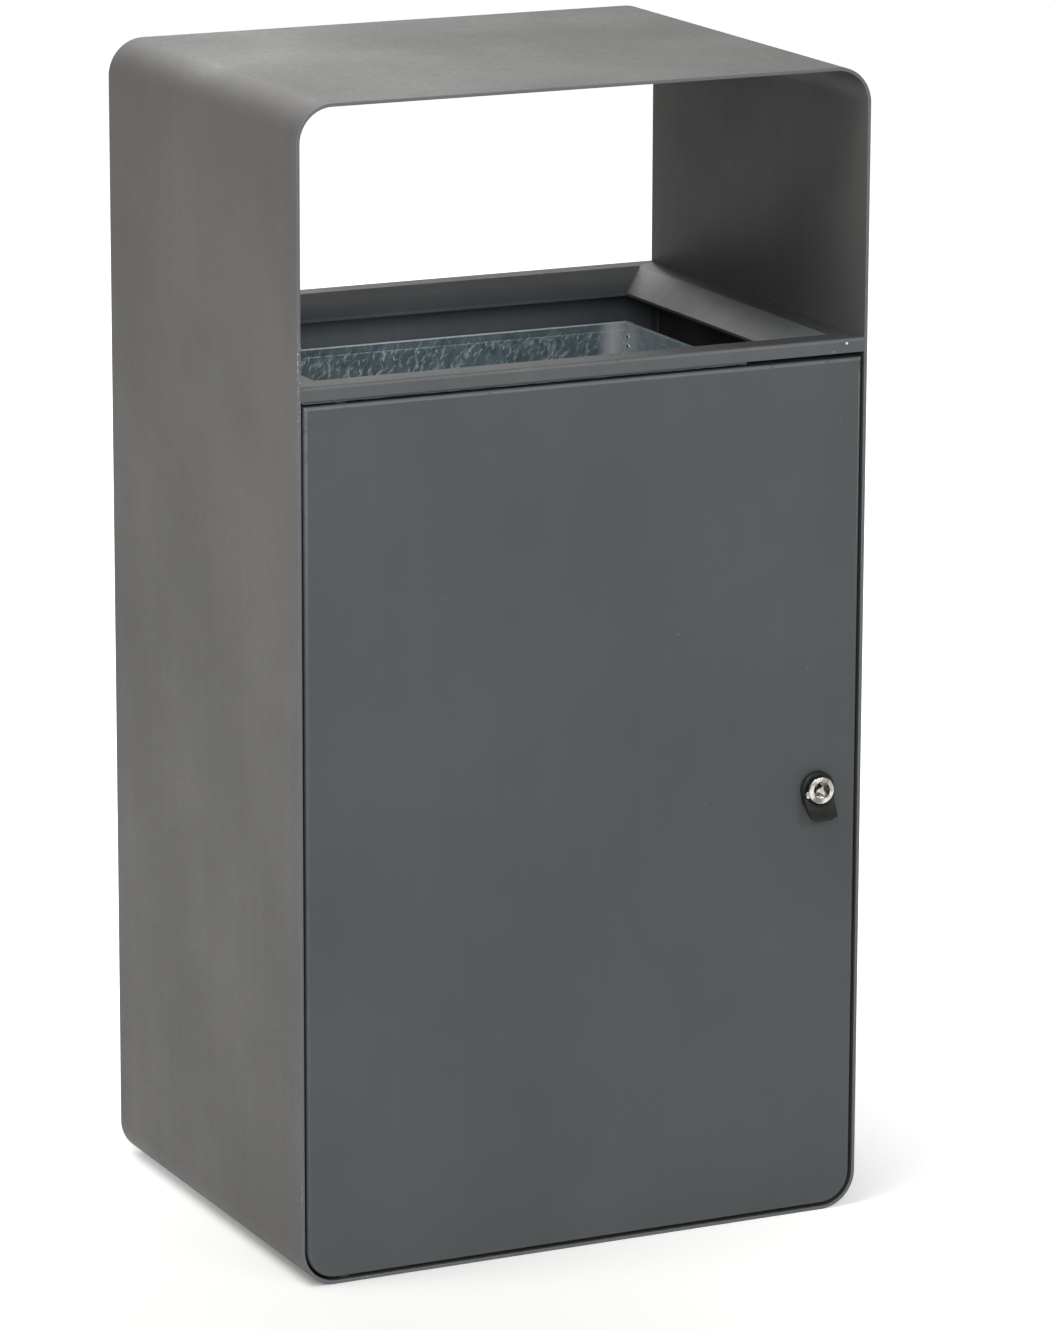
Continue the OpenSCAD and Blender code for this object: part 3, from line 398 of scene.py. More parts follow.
def paintedSheet(name):
    look = coatLook[name]
    material, tree, surface, place = newMaterial(name, {"Specular IOR Level": look["specular"]})
    coat = useGroup(tree, powderGrain, {"Vector": place, "Cloud Size": look["cloudSize"],
                                        "Streak Width": look["streakWidth"]})
    edge = markOn(tree, "edgeMark")
    cover = look.get("cover", coatMarks["cover"])
    rub = useGroup(tree, rubbedEdge, {"Vector": place, "Edge": edge, "Cover": cover})["Rub"]
    clouding = timesPlus(tree, minus(tree, coat["Cloud"], 0.5), look["clouds"], 0.5)
    tone = timesPlus(tree, minus(tree, coat["Streak"], 0.5), look["streaks"], clouding, clamp=True)
    colour = mixed(tree, tone, look["dark"], look["light"])
    if "rimDarkening" in look:
        colour = darkenedRimTop(tree, place, colour, coat["Cloud"], look["rimDarkening"])
    # Marked edges take the lighter edge colour: worn paint and painted highlight
    rubbed = times(tree, rub, coatMarks["rub"])
    # A painted highlight: edges lighten more the higher they stand, most along the door's top fold
    if "edgeHighlightRise" in look:
        rubbed = times(tree, rubbed, remap(tree, axes(tree, place)[2], *look["edgeHighlightRise"]))
    colour = mixed(tree, rubbed, colour, look["edge"])
    if "nicks" in look:
        colour = nicked(tree, place, colour, edge, look["nicks"])
    colour = mixed(tree, coat["Speck"], colour, coatMarks["speck"])
    for centre, radius in look.get("chips", ()):
        colour = chipped(tree, place, colour, centre, radius)
    tree.links.new(colour, surface.inputs["Base Color"])
    rough = timesPlus(tree, minus(tree, coat["Cloud"], 0.5), coatMarks["cloudGloss"], look["roughness"])
    rough = timesPlus(tree, minus(tree, coat["Grain"], 0.5), coatMarks["grainGloss"], rough)
    tree.links.new(rough, surface.inputs["Roughness"])
    bumped(tree, surface, coat["Grain"], coatMarks["bump"], coatMarks["bumpDepth"])
    tidyTree(tree)
    return material


# One zinc in two tones: the rear wall's sheet darker and the wrap much paler, painted shade and painted light for how
# light falls on them
zincLook = {
    "galvanisedSheet": {"dark": seen(64, 82, 89), "light": seen(96, 116, 122), "feather": seen(116, 136, 141),
                        "leaf": seen(238, 243, 243), "dull": seen(70, 87, 93), "roughness": 0.36, "metal": 0.1},
    "galvanisedWrap": {"dark": seen(158, 179, 185), "light": seen(188, 205, 210), "feather": seen(203, 217, 221),
                       "leaf": seen(240, 245, 245), "dull": seen(134, 154, 160), "roughness": 0.3, "metal": 0.1},
}
# The liner's folded hem: its height, and the line, the painted highlight on its top fold and the thinning of the marks
# that come with it
hemLook = {"top": 0.721, "low": 0.713, "fade": 0.035, "blur": 0.001, "lineHalf": 0.0006, "lip": (0.0013, 0.0009),
           "scuff": (260.0, 260.0, 1500.0)}
# Where the painted highlight beside the rear seams lies, and how wide it fades
seamPlace = {"x": 0.2225, "y": 0.1735, "core": 0.016, "near": 0.014, "far": 0.034}
zincMarks = {"flakeSize": 0.011, "feather": 0.55, "leafSize": 0.0082, "specular": 0.6,
             "feathering": 0.5, "bloom": 0.35, "plumes": 0.42, "plumesLost": 0.25, "leaves": 0.6, "leavesLost": 0.45,
             "line": 0.5, "lip": 0.8, "seam": 0.72, "seamColour": seen(232, 234, 238),
             "edge": 0.8, "edgeColour": seen(240, 244, 246),
             "flakeGloss": 0.2, "leafGloss": -0.12, "featherRelief": 0.4, "bump": 0.2, "bumpDepth": 0.0002}


# Painted highlight: pale zinc beside the liner's two rear seams
def seamBloom(tree, where):
    across = minus(tree, seamPlace["x"], calc(tree, "ABSOLUTE", where[0]))
    along = minus(tree, seamPlace["y"], where[1])
    off = hypotenuse(tree, across, along)
    outer = remap(tree, off, seamPlace["near"], seamPlace["far"], 1.0, 0.0)
    return times(tree, outer, remap(tree, off, 0.0, seamPlace["core"], 0.5, 1.0))


def galvanised(name):
    look = zincLook[name]
    marks = zincMarks
    material, tree, surface, place = newMaterial(name, {"Metallic": look["metal"],
                                                        "Specular IOR Level": marks["specular"]})
    where = axes(tree, place)
    height = where[2]
    top, low = hemLook["top"], hemLook["low"]
    leafShare = remap(tree, height, top - hemLook["fade"], low, 0.6, 1.0)
    zinc = useGroup(tree, zincSpangle, {"Vector": place, "Flake Size": marks["flakeSize"],
                                        "Feather": marks["feather"], "Leaf Size": marks["leafSize"],
                                        "Leaf Share": leafShare})
    band = remap(tree, height, low, low + hemLook["blur"])
    plumes = times(tree, zinc["Plume"], timesPlus(tree, band, -marks["plumesLost"], marks["plumes"]))
    leaves = times(tree, zinc["Leaf"], timesPlus(tree, band, -marks["leavesLost"], marks["leaves"]))
    scuff = remap(tree, noise(tree, stretched(tree, place, hemLook["scuff"]), 1.0, 2.0), 0.4, 0.6)
    line = calc(tree, "LESS_THAN", calc(tree, "ABSOLUTE", minus(tree, height, low)), hemLook["lineHalf"])
    # A painted highlight along the hem's rounded top fold
    lipLow, lipHigh = hemLook["lip"]
    lip = remap(tree, height, top - lipLow, top - lipHigh)
    colour = mixed(tree, zinc["Flake"], look["dark"], look["light"])
    for share, tint in ((times(tree, zinc["Feathering"], marks["feathering"]), look["feather"]),
                        (times(tree, zinc["Bloom"], marks["bloom"]), look["dull"]),
                        (plumes, look["leaf"]),
                        (leaves, look["leaf"]),
                        (times(tree, times(tree, line, scuff), marks["line"]), look["leaf"]),
                        (times(tree, lip, marks["lip"]), look["leaf"]),
                        (times(tree, seamBloom(tree, where), marks["seam"]), marks["seamColour"]),
                        (times(tree, markOn(tree, "edgeMark"), marks["edge"]), marks["edgeColour"])):
        colour = mixed(tree, share, colour, tint)
    tree.links.new(colour, surface.inputs["Base Color"])
    rough = timesPlus(tree, zinc["Flake"], marks["flakeGloss"], look["roughness"])
    tree.links.new(timesPlus(tree, zinc["Leaf"], marks["leafGloss"], rough), surface.inputs["Roughness"])
    relief = calc(tree, "ADD", zinc["Flake"], times(tree, zinc["Feathering"], marks["featherRelief"]))
    bumped(tree, surface, relief, marks["bump"], marks["bumpDepth"])
    tidyTree(tree)
    return material


metalLook = {
    "platedSteel": {"light": seen(186, 188, 192), "dark": seen(140, 142, 146), "roughness": 0.32, "spread": 0.2,
                    "markSize": 0.004, "bump": 0.12},
    "rivetMetal": {"light": seen(248, 249, 250), "dark": seen(222, 223, 224), "roughness": 0.2, "spread": 0.15,
                   "metal": 0.5, "markSize": 0.002, "bump": 0.15, "hole": seen(10, 10, 10)},
    "lockChrome": {"light": seen(220, 217, 210), "dark": seen(112, 110, 102), "roughness": 0.1, "spread": 0.22,
                   "markSize": 0.0045, "bump": 0.3, "socketShadeTint": seen(30, 26, 20)},
}


metalMarks = {"scratchGloss": 0.15, "bumpDepth": 0.0001}

# The lock's axis on the door, its front, and the radii of its socket and of the painted shadow round its head
socketLow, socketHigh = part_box("lock_insert")
lockPlace = {"x": (socketLow.x + socketHigh.x) / 2, "z": (socketLow.z + socketHigh.z) / 2,
             "front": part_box("lock_housing")[0].y, "socket": 0.0072, "headShadow": 0.0138, "headShadowFade": 0.0024}
socketShadeLook = {"scale": 420.0, "start": 0.0012, "full": 0.0034, "least": 0.15}


def lockDistance(tree, where):
    return hypotenuse(tree, minus(tree, where[0], lockPlace["x"]), minus(tree, where[2], lockPlace["z"]))


# Painted shade on the walls and the floor of the socket: darker deeper in, broken into patches
def paintedSocketShade(tree, place):
    where = axes(tree, place)
    inside = calc(tree, "LESS_THAN", lockDistance(tree, where), lockPlace["socket"])
    deep = remap(tree, minus(tree, where[1], lockPlace["front"]), socketShadeLook["start"], socketShadeLook["full"])
    patch = remap(tree, noise(tree, place, socketShadeLook["scale"], 3.0), 0.4, 0.62, socketShadeLook["least"], 1.0)
    return times(tree, inside, times(tree, deep, patch))


def bareMetal(name):
    look = metalLook[name]
    material, tree, surface, place = newMaterial(name, {"Metallic": look.get("metal", 1.0)})
    marks = useGroup(tree, handledMetal, {"Vector": place, "Mark Size": look["markSize"]})
    colour = mixed(tree, marks["Dull"], look["light"], look["dark"])
    # The socket is darkened: painted shade
    if "socketShadeTint" in look:
        colour = mixed(tree, paintedSocketShade(tree, place), colour, look["socketShadeTint"])
    # Painted shade: the rivets' mandrel holes are made near black
    if "hole" in look:
        colour = mixed(tree, markOn(tree, "holeMark"), colour, look["hole"])
    tree.links.new(colour, surface.inputs["Base Color"])
    rough = timesPlus(tree, marks["Dull"], look["spread"], look["roughness"])
    rough = timesPlus(tree, marks["Scratch"], metalMarks["scratchGloss"], rough)
    tree.links.new(rough, surface.inputs["Roughness"])
    relief = calc(tree, "ADD", marks["Scratch"], marks["Dull"])
    bumped(tree, surface, relief, look["bump"], metalMarks["bumpDepth"])
    tidyTree(tree)
    return material


plasticLook = {
    "blackPlastic": {"light": seen(38, 38, 36), "dark": seen(24, 24, 24), "edge": seen(92, 92, 91),
                     "roughness": 0.46, "grainSize": 0.0005, "bump": 0.2, "headShadow": seen(6, 6, 6)},
    "bushPlastic": {"light": seen(52, 52, 53), "dark": seen(36, 36, 37), "edge": seen(70, 70, 71),
                    "roughness": 0.4, "grainSize": 0.0006, "bump": 0.1},
    "bufferRubber": {"light": seen(46, 46, 46), "dark": seen(30, 30, 30), "edge": seen(60, 60, 60),
                     "roughness": 0.75, "grainSize": 0.0008, "bump": 0.3},
}


plasticMarks = {"specular": 0.32, "rubSize": 0.004, "rubCover": 0.7, "rub": 0.6, "grainGloss": 0.16,
                "bumpDepth": 0.0001}


def mouldedPlastic(name):
    look = plasticLook[name]
    marks = plasticMarks
    material, tree, surface, place = newMaterial(name, {"Specular IOR Level": marks["specular"]})
    grain = useGroup(tree, mouldedGrain, {"Vector": place, "Grain Size": look["grainSize"]})
    rub = useGroup(tree, rubbedEdge, {"Vector": place, "Edge": markOn(tree, "edgeMark"),
                                      "Patch Size": marks["rubSize"], "Cover": marks["rubCover"]})["Rub"]
    colour = mixed(tree, grain["Flow"], look["dark"], look["light"])
    # Marked edges lighten: worn plastic and painted highlight lines
    colour = mixed(tree, times(tree, rub, marks["rub"]), colour, look["edge"])
    # Painted shadow: the plastic round the lock head is darkened to near black
    if "headShadow" in look:
        far = lockDistance(tree, axes(tree, place))
        near = remap(tree, far, lockPlace["headShadow"], lockPlace["headShadow"] + lockPlace["headShadowFade"], 1.0, 0.0)
        colour = mixed(tree, near, colour, look["headShadow"])
    tree.links.new(colour, surface.inputs["Base Color"])
    rough = timesPlus(tree, grain["Grain"], marks["grainGloss"], look["roughness"] - marks["grainGloss"] / 2)
    tree.links.new(rough, surface.inputs["Roughness"])
    bumped(tree, surface, grain["Grain"], look["bump"], marks["bumpDepth"])
    tidyTree(tree)
    return material


finishes = {name: paintedSheet(name) for name in coatLook}
finishes.update({name: bareMetal(name) for name in metalLook})
finishes.update({name: mouldedPlastic(name) for name in plasticLook})
finishes.update({name: galvanised(name) for name in zincLook})
print("finishes: %d" % len(finishes))


# Lengths in metres and angles in degrees for welding, flattening, rounding and shading the meshes
meshRules = {"weld": 2e-6, "flat": 0.3, "round": 35, "sheetSharp": 40, "rivetSharp": 50, "evenWeight": 90}


def meshFrom(shape, name):
    mesh = bpy.data.meshes.new(name)
    shape.to_mesh(mesh)
    shape.free()
    return mesh


def newPiece(name, data):
    piece = bpy.data.objects.new(name, data)
    bpy.context.scene.collection.objects.link(piece)
    return piece


# Modifiers settled into a plain mesh of its own
def settled(piece):
    bpy.context.view_layer.update()
    evaluated = piece.evaluated_get(bpy.context.evaluated_depsgraph_get())
    mesh = bpy.data.meshes.new_from_object(evaluated)
    mesh.name = piece.name
    piece.modifiers.clear()
    piece.data = mesh
    return piece


def shadeSmooth(piece, sharpAngle):
    piece.data.polygons.foreach_set("use_smooth", [True] * len(piece.data.polygons))
    piece.data.set_sharp_from_angle(angle=math.radians(sharpAngle))
    return piece


# Flats shade flat and the rounded edges between them carry the turn
def evenShading(piece):
    shadeSmooth(piece, meshRules["sheetSharp"])
    even = piece.modifiers.new("evenShading", "WEIGHTED_NORMAL")
    even.keep_sharp = True
    even.weight = meshRules["evenWeight"]
    return settled(piece)


# Rounds edges in two steps and marks the new faces
def roundEdges(shape, edges, radius, mark):
    made = bmesh.ops.bevel(shape, geom=edges, offset=radius, offset_type="OFFSET", segments=2,
                           profile=0.5, affect="EDGES", clamp_overlap=True)
    for face in made["faces"]:
        face[mark] = 1.0


# A copy of a node's mesh, merged, with its sharp edges rounded and its narrow faces marked
def roundedCopy(nodeName, pieceName, edgeRadius, thinEdge, thinMark):
    shape = bmesh.new()
    shape.from_mesh(nodes[nodeName].data)
    bmesh.ops.remove_doubles(shape, verts=shape.verts, dist=meshRules["weld"])
    flat = math.radians(meshRules["flat"])
    bmesh.ops.dissolve_limit(shape, angle_limit=flat, verts=shape.verts, edges=shape.edges)
    mark = shape.faces.layers.float.new("edgeMark")
    for face in shape.faces:
        if 2 * face.calc_area() < thinEdge * face.calc_perimeter():
            face[mark] = thinMark
    turn = math.radians(meshRules["round"])
    sharp = [e for e in shape.edges if len(e.link_faces) == 2 and e.calc_face_angle() > turn]
    roundEdges(shape, sharp, edgeRadius, mark)
    return newPiece(pieceName, meshFrom(shape, pieceName))


def setMaterial(piece, finish):
    piece.data.materials.clear()
    piece.data.materials.append(finishes[finish])
    piece.data.polygons.foreach_set("material_index", [0] * len(piece.data.polygons))


def seat(piece, body, finish, *replaced):
    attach(piece, body)
    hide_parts(*replaced)


# The hoop follows a rule: a rounded path, a sheet section with eased edges, and four bolt holes
hoopSizes = {"width": 0.525, "height": 1.0, "depth": 0.4, "sheet": 0.003, "bend": 0.032, "bendSteps": 20,
             "edge": 0.0006, "edgeSteps": 2, "boltSpanX": 0.36, "boltSpanY": 0.22, "boltHole": 0.012}
hoopInputs = {"Width": "width", "Height": "height", "Depth": "depth", "Sheet": "sheet", "Bend Radius": "bend",
              "Bend Steps": "bendSteps", "Edge Radius": "edge", "Edge Steps": "edgeSteps",
              "Bolt Span X": "boltSpanX", "Bolt Span Y": "boltSpanY", "Bolt Hole": "boltHole"}


# Each rule ends in real geometry with its material on it
def endRule(tree, geometry, given, result):
    real = add(tree, "GeometryNodeRealizeInstances", {0: geometry})
    painted = add(tree, "GeometryNodeSetMaterial", {"Geometry": real.outputs[0], "Material": given["Material"]})
    tree.links.new(painted.outputs[0], result[0])
    tidyTree(tree)


def bentHoopTree():
    inputs = [(label, "NodeSocketInt" if "Steps" in label else floatSocket, None) for label in hoopInputs]
    inputs.append(("Material", "NodeSocketMaterial", None))
    tree, given, result = newGroup("bentHoop", inputs, geometryOut, "GeometryNodeTree")
    half = times(tree, given["Sheet"], 0.5)
    path = add(tree, "GeometryNodeCurvePrimitiveQuadrilateral",
               {"Width": minus(tree, given["Width"], given["Sheet"]),
                "Height": minus(tree, given["Height"], given["Sheet"])})
    bent = add(tree, "GeometryNodeFilletCurve",
               {"Curve": path.outputs[0], "Count": given["Bend Steps"],
                "Radius": minus(tree, given["Bend Radius"], half)}, mode="POLY")
    section = add(tree, "GeometryNodeCurvePrimitiveQuadrilateral", {"Width": given["Sheet"], "Height": given["Depth"]})
    eased = add(tree, "GeometryNodeFilletCurve",
                {"Curve": section.outputs[0], "Count": given["Edge Steps"], "Radius": given["Edge Radius"]},
                mode="POLY")
    band = add(tree, "GeometryNodeCurveToMesh", {"Curve": bent.outputs[0], "Profile Curve": eased.outputs[0]})
    lift = add(tree, "ShaderNodeCombineXYZ", {2: times(tree, given["Height"], 0.5)}).outputs[0]
    stood = add(tree, "GeometryNodeTransform",
                {"Geometry": band.outputs[0], "Translation": lift, "Rotation": (math.pi / 2, 0, 0)})
    grid = add(tree, "GeometryNodeMeshGrid",
               {"Size X": given["Bolt Span X"], "Size Y": given["Bolt Span Y"], "Vertices X": 2, "Vertices Y": 2})
    drill = add(tree, "GeometryNodeMeshCylinder",
                {"Vertices": 32, "Radius": times(tree, given["Bolt Hole"], 0.5), "Depth": 0.02})
    drills = add(tree, "GeometryNodeInstanceOnPoints", {"Points": grid.outputs[0], "Instance": drill.outputs[0]})
    solidDrills = add(tree, "GeometryNodeRealizeInstances", {0: drills.outputs[0]})
    cut = add(tree, "GeometryNodeMeshBoolean", {"Mesh 1": stood.outputs[0], "Mesh 2": solidDrills.outputs[0]},
              operation="DIFFERENCE", solver="EXACT")
    endRule(tree, cut.outputs[0], given, result)
    return tree


# Sets a modifier's inputs by their sockets' identifiers
def setInputs(modifier, values):
    for item in modifier.node_group.interface.items_tree:
        if item.item_type == "SOCKET" and item.in_out == "INPUT" and item.name in values:
            modifier[item.identifier] = values[item.name]


def bentHoop():
    hoop = newPiece("bentHoop", bpy.data.meshes.new("bentHoop"))
    rule = hoop.modifiers.new("bentHoop", "NODES")
    rule.node_group = bentHoopTree()
    values = {label: hoopSizes[key] for label, key in hoopInputs.items()}
    values["Material"] = finishes["hoopCoat"]
    setInputs(rule, values)
    settled(hoop)
    # The sheet's front and back edge faces are marked for the lighter edge colour: wear and painted highlight
    edge = hoop.data.attributes.new("edgeMark", "FLOAT", "FACE")
    turn = np.zeros(len(hoop.data.polygons) * 3, np.float32)
    hoop.data.polygons.foreach_get("normal", turn)
    side = np.abs(turn.reshape(-1, 3)[:, 1])
    edge.data.foreach_set("value", np.where(side > 0.1, 1.0, 0.0).astype(np.float32))
    setMaterial(hoop, "hoopCoat")
    evenShading(hoop)
    seat(hoop, "cabinet", "hoopCoat", "outer_hoop")
    return hoop


bentHoop()
print("hoop: bent")


# Sheet pieces and fittings are the frame's own shapes with their edges eased
easedPieces = {
    # piece: node, body, finish, edge radius
    "funnelDeck": ("funnel_deck", "cabinet", "deckCoat", 0.0005),
    "rearPanel": ("rear_panel", "cabinet", "panelCoat", 0.0004),
    "linerShelf": ("liner_shelf", "cabinet", "galvanisedWrap", 0.0004),
    "pivotBlock": ("top_pivot_block", "cabinet", "platedSteel", 0.0004),
    "doorStop": ("door_stop", "cabinet", "panelCoat", 0.0004),
    "doorPanel": ("door_panel", "door", "doorCoat", 0.0004),
    "doorStiffener": ("door_stiffener", "door", "doorCoat", 0.0003),
    "upperPivotPlate": ("top_pivot_plate", "door", "platedSteel", 0.0003),
    "lowerPivotPlate": ("bottom_pivot_plate", "door", "platedSteel", 0.0003),
    "fingerPull": ("finger_pull", "door", "blackPlastic", 0.0005),
    "lockHead": ("lock_housing", "door", "lockChrome", 0.0004),
    "lockWasher": ("lock_washer", "door", "platedSteel", 0.0002),
    "lockNut": ("lock_nut", "door", "platedSteel", 0.0004),
    "lockInsert": ("lock_insert", "lock_barrel", "lockChrome", 0.0003),
    "lockCam": ("lock_cam", "lock_barrel", "platedSteel", 0.0003),
    "camWasher": ("cam_washer", "lock_barrel", "platedSteel", 0.0002),
    "camScrew": ("cam_screw", "lock_barrel", "platedSteel", 0.0003),
    "linerWrap": ("liner_wrap", "liner", "galvanisedWrap", 0.0002),
    "linerRearWall": ("liner_rear_wall", "liner", "galvanisedSheet", 0.0002),
    "linerFloor": ("liner_floor", "liner", "galvanisedWrap", 0.0002),
    "linerHandle": ("liner_handle", "liner", "galvanisedWrap", 0.0003),
}
# Narrow faces that catch the light: cut zinc edges, and the facets of folded paint
thinFaces = {"galvanisedSheet": (0.0025, 1.0), "galvanisedWrap": (0.0025, 1.0), "doorCoat": (0.0009, 0.32),
             "deckCoat": (0.0009, 0.3)}
for pieceName, (nodeName, body, finish, edgeRadius) in easedPieces.items():
    thinEdge, thinMark = thinFaces.get(finish, (0.0, 0.0))
    piece = roundedCopy(nodeName, pieceName, edgeRadius, thinEdge, thinMark)
    setMaterial(piece, finish)
    evenShading(piece)
    seat(piece, body, finish, nodeName)
print("eased pieces: %d" % len(easedPieces))

# A thin strip behind the front rail, just showing under its lower edge; its coat is painted darker as shade under the
# rail, and its lower edge lighter, partly wear and partly painted highlight
railStripSizes = {"left": -0.2573, "right": 0.1485, "back": -0.1968, "front": -0.1981, "low": 0.7548,
                  "high": 0.7665, "edge": 0.00025}


def railStrip():
    k = railStripSizes
    shape = bmesh.new()
    bmesh.ops.create_cube(shape, size=1.0)
    for vert in shape.verts:
        vert.co = Vector((k["left"] if vert.co.x < 0 else k["right"], k["front"] if vert.co.y < 0 else k["back"],
                          k["low"] if vert.co.z < 0 else k["high"]))
    mark = shape.faces.layers.float.new("edgeMark")
    roundEdges(shape, shape.edges[:], k["edge"], mark)
    strip = newPiece("railStrip", meshFrom(shape, "railStrip"))
    setMaterial(strip, "stripCoat")
    evenShading(strip)
    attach(strip, "cabinet")


railStrip()
print("rail strip: set")

# Small fittings keep their own meshes
keptNodes = {"top_pivot_pin": "pinCoat", "bottom_pivot_pin": "pinCoat", "door_buffers": "bufferRubber",
             "top_bush": "bushPlastic", "bottom_bush": "bushPlastic"}
for nodeName, finish in keptNodes.items():
    setMaterial(nodes[nodeName], finish)


# Blind rivets: one turned rivet, set on marked points
rivetSizes = {"head": 0.0064, "turns": 24, "spread": 0.03, "seed": 7, "apronY": 0.2, "apronCount": 5,
              "apronGrip": 0.004, "seamGrip": 0.002, "handleGrip": 0.003}


# A closed turned shape from (radius, height) pairs whose first and last radius are 0
def turned(name, profile, sides):
    shape = bmesh.new()
    rings = []
    for radius, height in profile:
        if radius == 0:
            rings.append([shape.verts.new((0, 0, height))])
        else:
            rings.append([shape.verts.new((radius * math.cos(2 * math.pi * i / sides),
                                           radius * math.sin(2 * math.pi * i / sides), height))
                          for i in range(sides)])
    for low, high in zip(rings, rings[1:]):
        for i in range(sides):
            j = (i + 1) % sides
            if len(low) == 1:
                shape.faces.new((low[0], high[j], high[i]))
            elif len(high) == 1:
                shape.faces.new((low[i], low[j], high[0]))
            else:
                shape.faces.new((low[i], low[j], high[j], high[i]))
    bmesh.ops.recalc_face_normals(shape, faces=shape.faces)
    return meshFrom(shape, name)


def rivetMaster(name, grip):
    r = rivetSizes["head"] / 2
    top = r / 3
    profile = [(0, -grip - 2 * top), (r / 4, -grip - 2 * top), (r / 4 + 0.0001, -grip - top), (r * 0.5, -grip - top),
               (r * 0.64, -grip - top * 0.7), (r * 0.66, -grip - top * 0.2), (r * 0.6, -grip), (r / 2, -grip),
               (r / 2, 0), (r - 0.0002, 0), (r, 0.0001), (r * 0.97, top * 0.35), (r * 0.88, top * 0.7),
               (r * 0.74, top * 0.93), (r * 0.6, top), (r * 0.42, top), (r * 0.37, top * 0.9),
               (r * 0.35, -top * 0.8), (r * 0.12, -top * 0.9), (0, -top * 0.85)]
    mesh = turned(name, profile, rivetSizes["turns"])
    # The mandrel hole is marked for painted shade
    hole = mesh.attributes.new("holeMark", "FLOAT", "POINT")
    hole.data.foreach_set("value", [float(math.hypot(v.co.x, v.co.y) < r * 0.4 and v.co.z > -top)
                                    for v in mesh.vertices])
    return mesh


def setRivetsTree():
    tree, given, result = newGroup(
        "setRivets",
        [("Geometry", "NodeSocketGeometry", None), ("Rivet", "NodeSocketObject", None),
         ("Size Spread", floatSocket, None), ("Seed", "NodeSocketInt", None),
         ("Material", "NodeSocketMaterial", None)],
        geometryOut, "GeometryNodeTree")
    axis = add(tree, "GeometryNodeInputNamedAttribute", {"Name": "headAxis"}, data_type="FLOAT_VECTOR")
    upright = add(tree, "FunctionNodeAlignRotationToVector", {"Vector": axis.outputs[0]}, axis="Z")
    spin = add(tree, "FunctionNodeRandomValue", {"Seed": given["Seed"], 2: 0.0, 3: math.tau}, data_type="FLOAT")
    about = add(tree, "FunctionNodeAxisAngleToRotation", {"Axis": (0, 0, 1), "Angle": spin.outputs[1]})
    spun = add(tree, "FunctionNodeRotateRotation", {0: upright.outputs[0], 1: about.outputs[0]},
               rotation_space="LOCAL")
    size = add(tree, "FunctionNodeRandomValue", {"Seed": calc(tree, "ADD", given["Seed"], 3),
                                                 2: minus(tree, 1.0, given["Size Spread"]), 3: 1.0},
               data_type="FLOAT")
    rivet = add(tree, "GeometryNodeObjectInfo", {"Object": given["Rivet"], "As Instance": True})
    placed = add(tree, "GeometryNodeInstanceOnPoints",
                 {"Points": given["Geometry"], "Instance": rivet.outputs["Geometry"], "Rotation": spun.outputs[0],
                  "Scale": size.outputs[1]})
    endRule(tree, placed.outputs[0], given, result)
    return tree


setRivets = setRivetsTree()


# Rivets at (position, axis of the head) pairs
def rivetRow(name, places, grip, finish):
    master = newPiece(name + "Master", rivetMaster(name + "Master", grip))
    mesh = bpy.data.meshes.new(name)
    mesh.from_pydata([p for p, a in places], [], [])
    axes = mesh.attributes.new("headAxis", "FLOAT_VECTOR", "POINT")
    axes.data.foreach_set("vector", [c for p, a in places for c in a])
    row = newPiece(name, mesh)
    rule = row.modifiers.new("setRivets", "NODES")
    rule.node_group = setRivets
    setInputs(rule, {"Rivet": master, "Size Spread": rivetSizes["spread"], "Seed": rivetSizes["seed"],
                     "Material": finishes[finish]})
    settled(row)
    bpy.data.objects.remove(master)
    setMaterial(row, finish)
    return shadeSmooth(row, meshRules["rivetSharp"])


def joined(name, parts):
    shape = bmesh.new()
    for part in parts:
        shape.from_mesh(part.data)
    material = parts[0].data.materials[0]
    for part in parts:
        bpy.data.objects.remove(part)
    whole = newPiece(name, meshFrom(shape, name))
    whole.data.materials.append(material)
    return shadeSmooth(whole, meshRules["rivetSharp"])


apronLow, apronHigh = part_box("apron_rivet_row")
headRadius = rivetSizes["head"] / 2
apronX = apronHigh.x - headRadius
apronZ = (apronLow.z + apronHigh.z) / 2
apronGaps = rivetSizes["apronCount"] - 1
apronPlaces = [((apronX * (2 * i / apronGaps - 1), rivetSizes["apronY"], apronZ), (0, 1, 0))
               for i in range(apronGaps + 1)]
apronRivets = rivetRow("apronRivets", apronPlaces, rivetSizes["apronGrip"], "panelCoat")
seat(apronRivets, "cabinet", "panelCoat", "apron_rivet_row")

linerSizes = {"sideX": 0.221, "seamY": 0.16788, "seamTop": 0.7077, "pair": 0.009, "seamLow": 0.0682,
              "floorZ": 0.0472, "frontY": -0.14625, "rearY": 0.174, "handleX": 0.053, "handleZ": 0.56,
              "sheet": 0.001}
seamHeights = [linerSizes["seamTop"], linerSizes["seamTop"] - linerSizes["pair"]]
seamHeights += [linerSizes["seamTop"] + (linerSizes["seamLow"] - linerSizes["seamTop"]) * i / 5 for i in range(1, 6)]
thinPlaces = []
for side in (-1, 1):
    thinPlaces += [((side * linerSizes["sideX"], linerSizes["seamY"], z), (-side, 0, 0)) for z in seamHeights]
    deep = linerSizes["rearY"] - linerSizes["frontY"]
    thinPlaces += [((side * (linerSizes["sideX"] - linerSizes["sheet"]), linerSizes["frontY"] + deep * i / 4,
                     linerSizes["floorZ"]), (-side, 0, 0)) for i in (1, 2, 3)]
handleY = linerSizes["frontY"] + linerSizes["sheet"]
handlePlaces = [((side * linerSizes["handleX"], handleY, linerSizes["handleZ"]), (0, 1, 0)) for side in (-1, 1)]
